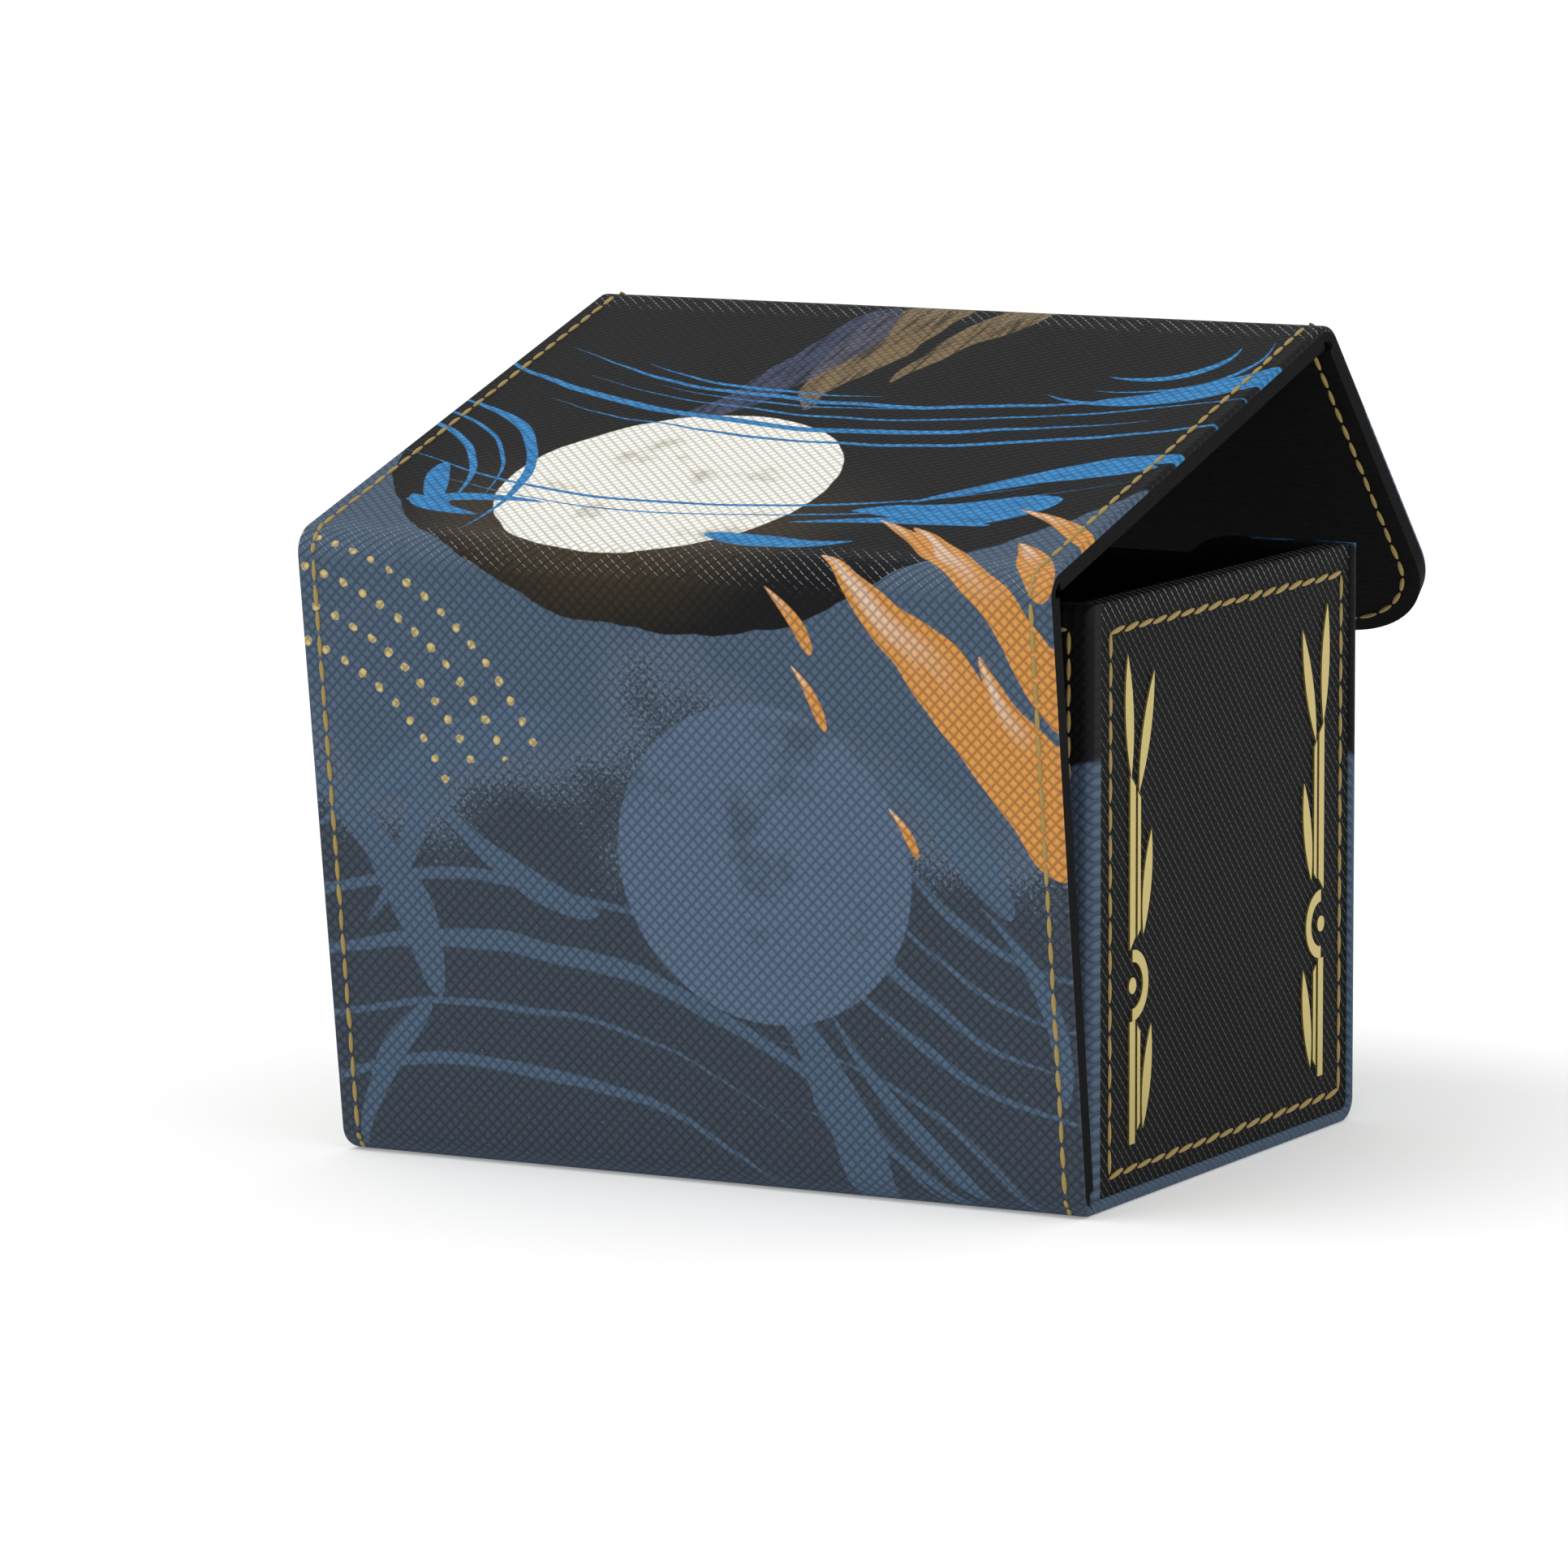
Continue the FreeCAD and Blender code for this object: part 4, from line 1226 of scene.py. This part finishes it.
def stitch_group() -> bpy.types.NodeTree:
    """Geometry group that lays single stitches and needle holes along the edges of a mesh.

    Returns:
        Geometry group taking edges and the sizes of a stitch in metres, giving a mesh.
    """
    tree, w, given, out = new_group(
        "stitch_run", "GeometryNodeTree",
        [("Geometry", "NodeSocketGeometry", None)]
        + numbers(Pitch=3.2 * MM, Fill=0.9, Width=0.62 * MM, Height=0.5 * MM, Hole=0.5 * MM, Slant=0.0)
        + [("Seed", "NodeSocketInt", 0), ("Thread", "NodeSocketMaterial", None),
           ("Needle", "NodeSocketMaterial", None)],
        [("Geometry", "NodeSocketGeometry")])
    line = w.node("GeometryNodeMeshToCurve")
    w.put(line.inputs["Mesh"], given["Geometry"])
    length = w.node("GeometryNodeSplineLength").outputs["Length"]
    gaps = w.math("ROUND", w.div(length, given["Pitch"]))
    places = w.node("GeometryNodeResampleCurve", mode="COUNT")
    w.put(places.inputs["Curve"], line.outputs["Curve"])
    w.put(places.inputs["Count"], w.add(w.math("MAXIMUM", gaps, 0.0), 1.0))
    facing = w.node("GeometryNodeInputNamedAttribute", data_type="FLOAT_VECTOR")
    facing.inputs["Name"].default_value = FACING
    along = w.node("FunctionNodeAlignRotationToVector", axis="Y")
    w.put(along.inputs["Vector"], w.node("GeometryNodeInputTangent").outputs["Tangent"])
    upright = w.node("FunctionNodeAlignRotationToVector", axis="Z", pivot_axis="Y")
    w.put(upright.inputs["Rotation"], along.outputs["Rotation"])
    w.put(upright.inputs["Vector"], facing.outputs["Attribute"])
    jitter = w.node("FunctionNodeRandomValue", data_type="FLOAT")
    for name, value in (("Min", -0.05), ("Max", 0.05)):
        [s for s in jitter.inputs if s.name == name and s.type == "VALUE"][0].default_value = value
    w.put(jitter.inputs["Seed"], given["Seed"])
    wander = [s for s in jitter.outputs if s.type == "VALUE"][0]
    twist = w.node("FunctionNodeEulerToRotation")
    w.put(twist.inputs[0], w.join(0.0, 0.0, w.add(given["Slant"], wander)))
    turn = w.node("FunctionNodeRotateRotation", rotation_space="LOCAL")
    w.put(turn.inputs["Rotation"], upright.outputs["Rotation"])
    w.put(turn.inputs["Rotate By"], twist.outputs[0])

    def laid(size: bpy.types.NodeSocket, material: bpy.types.NodeSocket,
             rotation: bpy.types.NodeSocket) -> bpy.types.Node:
        """Copies of a ball along the run.

        Args:
            size: half sizes of one copy.
            material: its material.
            rotation: the way it is turned.
        Returns:
            Node whose output is the copies.
        """
        ball = w.node("GeometryNodeMeshUVSphere")
        for name, value in (("Segments", 12), ("Rings", 8), ("Radius", 1.0)):
            ball.inputs[name].default_value = value
        smooth = w.node("GeometryNodeSetShadeSmooth")
        w.put(smooth.inputs["Geometry"], ball.outputs["Mesh"])
        coated = w.node("GeometryNodeSetMaterial")
        w.put(coated.inputs["Geometry"], smooth.outputs["Geometry"])
        w.put(coated.inputs["Material"], material)
        copies = w.node("GeometryNodeInstanceOnPoints")
        for name, value in (("Points", places.outputs["Curve"]), ("Instance", coated.outputs["Geometry"]),
                            ("Rotation", rotation), ("Scale", size)):
            w.put(copies.inputs[name], value)
        return copies

    swell = w.add(1.0, w.mul(wander, 1.6))
    size = w.join(w.mul(w.mul(given["Width"], 0.5), swell),
                  w.mul(w.mul(given["Pitch"], given["Fill"]), 0.5),
                  w.mul(given["Height"], 0.5))
    threads = laid(size, given["Thread"], turn.outputs["Rotation"])
    # Flat dark discs between the stitches: painted shade of the needle holes.
    hole_half = w.mul(given["Hole"], 0.5)
    hole_size = w.join(hole_half, hole_half, w.mul(given["Height"], 0.12))
    holes = laid(hole_size, given["Needle"], upright.outputs["Rotation"])
    shifted = w.node("GeometryNodeTranslateInstances")
    w.put(shifted.inputs["Instances"], holes.outputs["Instances"])
    w.put(shifted.inputs["Translation"], w.join(0.0, w.mul(given["Pitch"], 0.5), 0.0))
    joined = w.node("GeometryNodeJoinGeometry")
    w.put(joined.inputs["Geometry"], shifted.outputs["Instances"])
    w.put(joined.inputs["Geometry"], threads.outputs["Instances"])
    real = w.node("GeometryNodeRealizeInstances")
    w.put(real.inputs["Geometry"], joined.outputs["Geometry"])
    w.put(out["Geometry"], real.outputs["Geometry"])
    return tree


class Stitcher:
    """Turns seams into plain stitch meshes."""

    def __init__(self, thread: bpy.types.Material, hole: bpy.types.Material) -> None:
        """Makes the stitch group.

        Args:
            thread: material of the stitches.
            hole: material of the needle holes.
        """
        self.group = stitch_group()
        self.thread = thread
        self.hole = hole

    def carrier(self, seam: Seam) -> tuple[bpy.types.Mesh, float]:
        """Edges for the stitches to follow, with the way they face stored on the points.

        Args:
            seam: the runs and sizes.
        Returns:
            The mesh and the shortest pitch of its runs, in metres.
        """
        vertices, facings, edges, steps = [], [], [], []
        for run in seam.runs:
            points, faces, count = run.trimmed(seam.pitch, seam.round_up)
            total = sum((b - a).length for a, b in zip(run.points, run.points[1:]))
            steps.append(total / count)
            first = len(vertices)
            vertices += points
            facings += faces
            edges += [(first + i, first + i + 1) for i in range(len(points) - 1)]
        mesh = bpy.data.meshes.new(seam.name + "_carrier")
        mesh.from_pydata([tuple(v) for v in vertices], edges, [])
        attribute = mesh.attributes.new(FACING, "FLOAT_VECTOR", "POINT")
        attribute.data.foreach_set("vector", [c for f in facings for c in f])
        return mesh, min(steps)

    def sew(self, seam: Seam) -> bpy.types.Object:
        """Stitch mesh of one seam.

        Args:
            seam: the runs and sizes.
        Returns:
            Object holding a plain mesh, with no modifier.
        """
        mesh, pitch = self.carrier(seam)
        helper = add_object(seam.name + "_helper", mesh)
        modifier = helper.modifiers.new("stitches", "NODES")
        modifier.node_group = self.group
        sockets = {i.name: i.identifier for i in self.group.interface.items_tree
                   if i.item_type == "SOCKET" and i.in_out == "INPUT"}
        for name, value in (("Pitch", pitch), ("Width", seam.width), ("Fill", seam.fill),
                            ("Slant", seam.slant), ("Seed", STITCH_SEED), ("Thread", self.thread),
                            ("Needle", self.hole)):
            modifier[sockets[name]] = value
        bpy.context.view_layer.update()
        depsgraph = bpy.context.evaluated_depsgraph_get()
        plain = bpy.data.meshes.new_from_object(helper.evaluated_get(depsgraph), depsgraph=depsgraph)
        helper.modifiers.remove(modifier)
        bpy.data.objects.remove(helper)
        bpy.data.meshes.remove(mesh)
        plain.name = seam.name
        made = add_object(seam.name, plain)
        log.info("sewed %s: %d faces", made.name, len(plain.polygons))
        return made


def straight(a: Sequence[float], b: Sequence[float], facing: Sequence[float]) -> Run:
    """Straight run of stitches between two points."""
    return Run((Vector(a), Vector(b)), (Vector(facing), Vector(facing)))


@dataclass
class CoverSeams:
    """Stitching of the cover, lid and flap, outside and inside."""
    covering: Covering
    inset: float = 2.4 * MM
    lift: float = 0.02 * MM
    corner_steps: int = 20
    fold_pitch: float = 2.2 * MM
    clear_of_floor: float = 0.36

    def side_runs(self, stations: Sequence[Station], depth: float, facing_sign: int) -> tuple[Run, ...]:
        """Runs near both side edges through the stations.

        Args:
            stations: places that the runs pass.
            depth: depth below the outer face, in metres.
            facing_sign: 1 for stitches that face out, -1 for in.
        Returns:
            The two runs.
        """
        x = self.covering.half - self.inset
        runs = []
        for side in (-1, 1):
            points = tuple(s.at(side * x, depth - facing_sign * self.lift) for s in stations)
            facings = tuple(Vector((0, s.normal[0], s.normal[1])) * facing_sign for s in stations)
            runs.append(Run(points, facings))
        return tuple(runs)

    def flap_loop(self, panel: Panel, depth: float, facing_sign: int) -> Run:
        """Run down one side of the flap, round its lower corners and up the other side.

        Args:
            panel: the flap.
            depth: depth below the outer face, in metres.
            facing_sign: 1 for stitches that face out, -1 for in.
        Returns:
            The run.
        """
        c = self.covering
        x, radius = c.half - self.inset, c.corner_radius - self.inset
        low = panel.length - c.corner_radius
        path = [(-x, 0.5 * MM), (-x, low)]
        for side in (-1, 1):
            for i in range(1, self.corner_steps + 1):
                share = i / self.corner_steps
                a = math.pi / 2 * (share if side < 0 else 1 - share)
                across = c.half - c.corner_radius + radius * math.cos(a)
                path.append((side * across, low + radius * math.sin(a)))
        path.append((x, 0.5 * MM))
        points = tuple(panel.station(along).at(px, depth - facing_sign * self.lift) for px, along in path)
        facing = Vector((0, panel.normal[0], panel.normal[1])) * facing_sign
        return Run(points, tuple(facing for _ in points))

    def build(self, stitcher: Stitcher) -> None:
        """Sews every seam of the cover.

        Args:
            stitcher: makes the stitches.
        """
        c = self.covering
        for panel, name in zip(c.panels, ("cover", "lid", "flap")):
            if name == "flap":
                runs = (self.flap_loop(panel, 0.0, 1), self.flap_loop(panel, c.thickness, -1))
            else:
                ends = [panel.station(0.0), panel.station(panel.length)]
                inner = [panel.station(0.8 * MM), panel.station(panel.length - 0.8 * MM)]
                runs = self.side_runs(ends, 0.0, 1) + self.side_runs(inner, c.thickness, -1)
            made = stitcher.sew(Seam(f"{name}_stitches", runs))
            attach(made, panel.body)
            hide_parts(f"{name}_stitching")
        for fold in c.folds:
            swing_first = fold.name == "cover"
            low, high = (self.clear_of_floor, fold.first_share) if swing_first else (fold.first_share, 1.0)
            steps = 12
            stations = [fold.station(low + (high - low) * i / steps) for i in range(steps + 1)]
            runs = self.side_runs(stations, 0.0, 1)
            made = stitcher.sew(Seam(f"{fold.name}_fold_stitches", runs, self.fold_pitch, round_up=True))
            edge = fold.station(0.0) if swing_first else stations[0]
            tuple(edge.at(0, 0))
            tuple(stations[-1].at(0, 0))
            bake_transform(made)


@dataclass
class WallSeams:
    """Stitching of the front wall and the two ends."""
    thread_width: float = 0.6 * MM
    lift: float = 0.02 * MM
    rope_slant: float = math.radians(9)
    rope_width: float = 0.66 * MM
    upright_pitch: float = 3.5 * MM
    row_pitch: float = 3.9 * MM

    def end(self, side: str, stitcher: Stitcher) -> None:
        """Rectangle of stitches on one end.

        Args:
            side: left or right.
            stitcher: makes the stitches.
        """
        node = f"{side}_end_stitching"
        low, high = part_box(node)
        half = self.thread_width / 2
        sign = -1 if side == "left" else 1
        x = (low.x if sign > 0 else high.x) + sign * self.lift
        y0, y1, z0, z1 = low.y + half, high.y - half, low.z + half, high.z - half
        facing = (sign, 0, 0)
        upright = (straight((x, y0, z0), (x, y0, z1), facing), straight((x, y1, z1), (x, y1, z0), facing))
        level = (straight((x, y0, z0), (x, y1, z0), facing), straight((x, y0, z1), (x, y1, z1), facing))
        for name, runs, pitch, slant, fill in (("uprights", upright, self.upright_pitch, 0.0, 0.92),
                                               ("rows", level, self.row_pitch, self.rope_slant * sign, 1.04)):
            seam = Seam(f"{side}_end_{name}", runs, pitch, slant=slant, width=self.rope_width, fill=fill)
            made = stitcher.sew(seam)
            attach(made, "root")
            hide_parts(node)

    def front(self, stitcher: Stitcher) -> None:
        """Stitches down both sides and along the top of the front wall.

        Args:
            stitcher: makes the stitches.
        """
        low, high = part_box("front_wall_stitching")
        half = self.thread_width / 2
        y = high.y - self.lift
        x, z0, z1 = high.x - half, low.z + half, high.z - half
        facing = (0, -1, 0)
        runs = (straight((-x, y, z0), (-x, y, z1), facing), straight((-x, y, z1), (x, y, z1), facing),
                straight((x, y, z1), (x, y, z0), facing))
        made = stitcher.sew(Seam("front_wall_stitches", runs))
        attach(made, "root")
        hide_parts("front_wall_stitching")

    def build(self, stitcher: Stitcher) -> None:
        """Sews every seam of the walls.

        Args:
            stitcher: makes the stitches.
        """
        self.front(stitcher)
        for side in ("left", "right"):
            self.end(side, stitcher)


# ---------------------------------------------------------------- CAD nodes
@dataclass
class Dressing:
    """Gives each shown CAD node its finish."""
    finishes: Finishes
    covering: Covering
    foil_bevel: float = 0.09 * MM

    @staticmethod
    def along(w: TreeWriter, direction: Point, start: Point, v_mm: float) -> bpy.types.NodeSocket:
        """Print coordinate of a flat panel from its place in the frame.

        Args:
            w: writer of the material's tree.
            direction, start: way that the panel runs and where it begins, in (y, z).
            v_mm: print height where it begins.
        Returns:
            The print coordinate.
        """
        place = w.node("ShaderNodeTexCoord").outputs["Object"]
        x = w.mul(w.split(place)[0], 1 / MM)
        run = w.vector("DOT_PRODUCT", place, (0.0, direction[0] / MM, direction[1] / MM), output="Value")
        offset = v_mm - (direction[0] * start[0] + direction[1] * start[1]) / MM
        return w.join(x, w.add(run, offset))

    def strip_place(self, w: TreeWriter) -> bpy.types.NodeSocket:
        """Print coordinate of the underside and rear strip.

        Args:
            w: writer of the material's tree.
        Returns:
            The print coordinate.
        """
        place = w.node("ShaderNodeTexCoord").outputs["Object"]
        x, y, z = (w.mul(s, 1 / MM) for s in w.split(place))
        reach = w.sub(self.covering.front / MM, y)
        height = w.mul(z, -1.0)
        return w.join(x, w.add(reach, height))

    @staticmethod
    def wall_place(w: TreeWriter) -> bpy.types.NodeSocket:
        """Print coordinate of the front wall: night above, slate below a slanted line.

        Args:
            w: writer of the material's tree.
        Returns:
            The print coordinate.
        """
        place = w.node("ShaderNodeTexCoord").outputs["Object"]
        x, _, z = (w.mul(s, 1 / MM) for s in w.split(place))
        slope, drop, lowest = 0.2, 79.0, -140.0
        return w.join(x, w.math("MAXIMUM", w.sub(w.sub(w.mul(x, slope), z), drop), lowest))

    def paint(self, node: str, material: bpy.types.Material) -> None:
        """Puts one finish on a CAD node.

        Args:
            node: name of the CAD node.
            material: its finish.
        """
        mesh = frame["nodes"][node].data
        mesh.materials.clear()
        mesh.materials.append(material)

    def build(self) -> None:
        """Paints every CAD node that stays shown."""
        f = self.finishes
        for panel, name in zip(self.covering.panels, ("cover", "lid", "flap")):
            def place(w: TreeWriter, panel: Panel = panel) -> bpy.types.NodeSocket:
                """Print coordinate of this panel."""
                return self.along(w, panel.direction, panel.start, panel.v_mm)
            self.paint(f"{name}_leather", f.print_at(f"printed_{name}", place))
        self.paint("covering_strip", f.print_at("printed_strip", self.strip_place))
        self.paint("front_wall_leather", f.print_at("printed_wall", self.wall_place))
        for name in frame["nodes"]:
            if name.endswith("_lining"):
                self.paint(name, f.made[Finish.LINING.value.name])
            elif name.endswith("_board"):
                self.paint(name, f.plain(Finish.BOARD))
            elif name.endswith("_magnets"):
                self.paint(name, f.plain(Finish.MAGNET))
            elif name in ("left_end_leather", "right_end_leather"):
                self.paint(name, f.made[Finish.END_LEATHER.value.name])
            elif name.endswith("_foil"):
                self.paint(name, f.made[Finish.FOIL.value.name])
                bevel = frame["nodes"][name].modifiers.new("rounded_rim", "BEVEL")
                bevel.width, bevel.segments, bevel.limit_method = self.foil_bevel, 2, "ANGLE"
        log.info("dressed %d CAD nodes", len(frame["nodes"]))


# ---------------------------------------------------------------- stage
@dataclass(frozen=True)
class Studio:
    """Floor, lights and camera."""
    floor_size: float = 30.0
    sun_energy: float = 0.82
    sun_angle: float = 40.0
    sun_height: float = 62.0
    sun_bearing: float = -48.0
    sky: float = 0.93
    floor_glow: float = 0.24
    lens: float = 207.96
    sensor: float = 36.0
    place: tuple[float, float, float] = (0.52222, -0.99176, 0.20455)
    bearing: float = 28.215
    dip: float = 8.13
    tilt: float = -0.141

    def floor(self, material: bpy.types.Material) -> None:
        """Plain pale floor.

        Args:
            material: its finish.
        """
        half = self.floor_size / 2
        mesh = bpy.data.meshes.new("floor")
        outline = [(-half, -half, 0), (half, -half, 0), (half, half, 0), (-half, half, 0)]
        mesh.from_pydata(outline, [], [(0, 1, 2, 3)])
        mesh.materials.append(material)
        surface = material.node_tree.nodes["Principled BSDF"]
        surface.inputs["Emission Color"].default_value = (1.0, 1.0, 1.0, 1.0)
        surface.inputs["Emission Strength"].default_value = self.floor_glow
        add_object("floor", mesh)

    def lights(self) -> None:
        """Even sky and one broad soft key."""
        world = bpy.context.scene.world or bpy.data.worlds.new("studio")
        bpy.context.scene.world = world
        world.use_nodes = True
        sky = world.node_tree.nodes["Background"]
        sky.inputs["Color"].default_value = (1.0, 1.0, 1.0, 1.0)
        sky.inputs["Strength"].default_value = self.sky
        data = bpy.data.lights.new("key", "SUN")
        data.energy, data.angle = self.sun_energy, math.radians(self.sun_angle)
        key = bpy.data.objects.new("key", data)
        bearing, height = math.radians(self.sun_bearing), math.radians(self.sun_height)
        level = math.cos(height)
        source = Vector((math.sin(bearing) * level, -math.cos(bearing) * level, math.sin(height)))
        key.rotation_euler = source.to_track_quat("Z", "Y").to_euler()
        bpy.context.scene.collection.objects.link(key)

    def camera(self) -> None:
        """Long-lens camera, above and to the right of the front."""
        data = bpy.data.cameras.new("camera")
        data.lens, data.sensor_width, data.clip_end = self.lens, self.sensor, 100.0
        camera = bpy.data.objects.new("camera", data)
        facing = Euler((math.radians(90 - self.dip), 0.0, math.radians(self.bearing))).to_matrix()
        turned_by = facing @ Matrix.Rotation(math.radians(self.tilt), 3, "Z")
        camera.matrix_world = Matrix.Translation(self.place) @ turned_by.to_4x4()
        bpy.context.scene.collection.objects.link(camera)
        bpy.context.scene.camera = camera

    def build(self, floor_material: bpy.types.Material) -> None:
        """Sets the stage.

        Args:
            floor_material: finish of the floor.
        """
        self.floor(floor_material)
        self.lights()
        self.camera()
        view = bpy.context.scene.view_settings
        view.view_transform, view.look = "Standard", "None"
        log.info("stage set")


def main() -> None:
    """Builds the looks round the frame."""
    logging.basicConfig(level=logging.INFO, format="%(name)s: %(message)s")
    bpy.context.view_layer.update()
    finishes = Finishes()
    finishes.lining()
    finishes.end_leather()
    finishes.foil()
    covering = Covering()
    Dressing(finishes, covering).build()

    def from_uv(w: TreeWriter) -> bpy.types.NodeSocket:
        """Print coordinate from the UV map."""
        return w.node("ShaderNodeUVMap", uv_map=WRAP_UV).outputs["UV"]
    covering.build(finishes, finishes.print_at("printed_fold", from_uv))
    stitcher = Stitcher(finishes.plain(Finish.THREAD), finishes.plain(Finish.HOLE))
    CoverSeams(covering).build(stitcher)
    WallSeams().build(stitcher)
    Studio().build(finishes.plain(Finish.FLOOR))


if __name__ == "__main__":
    main()
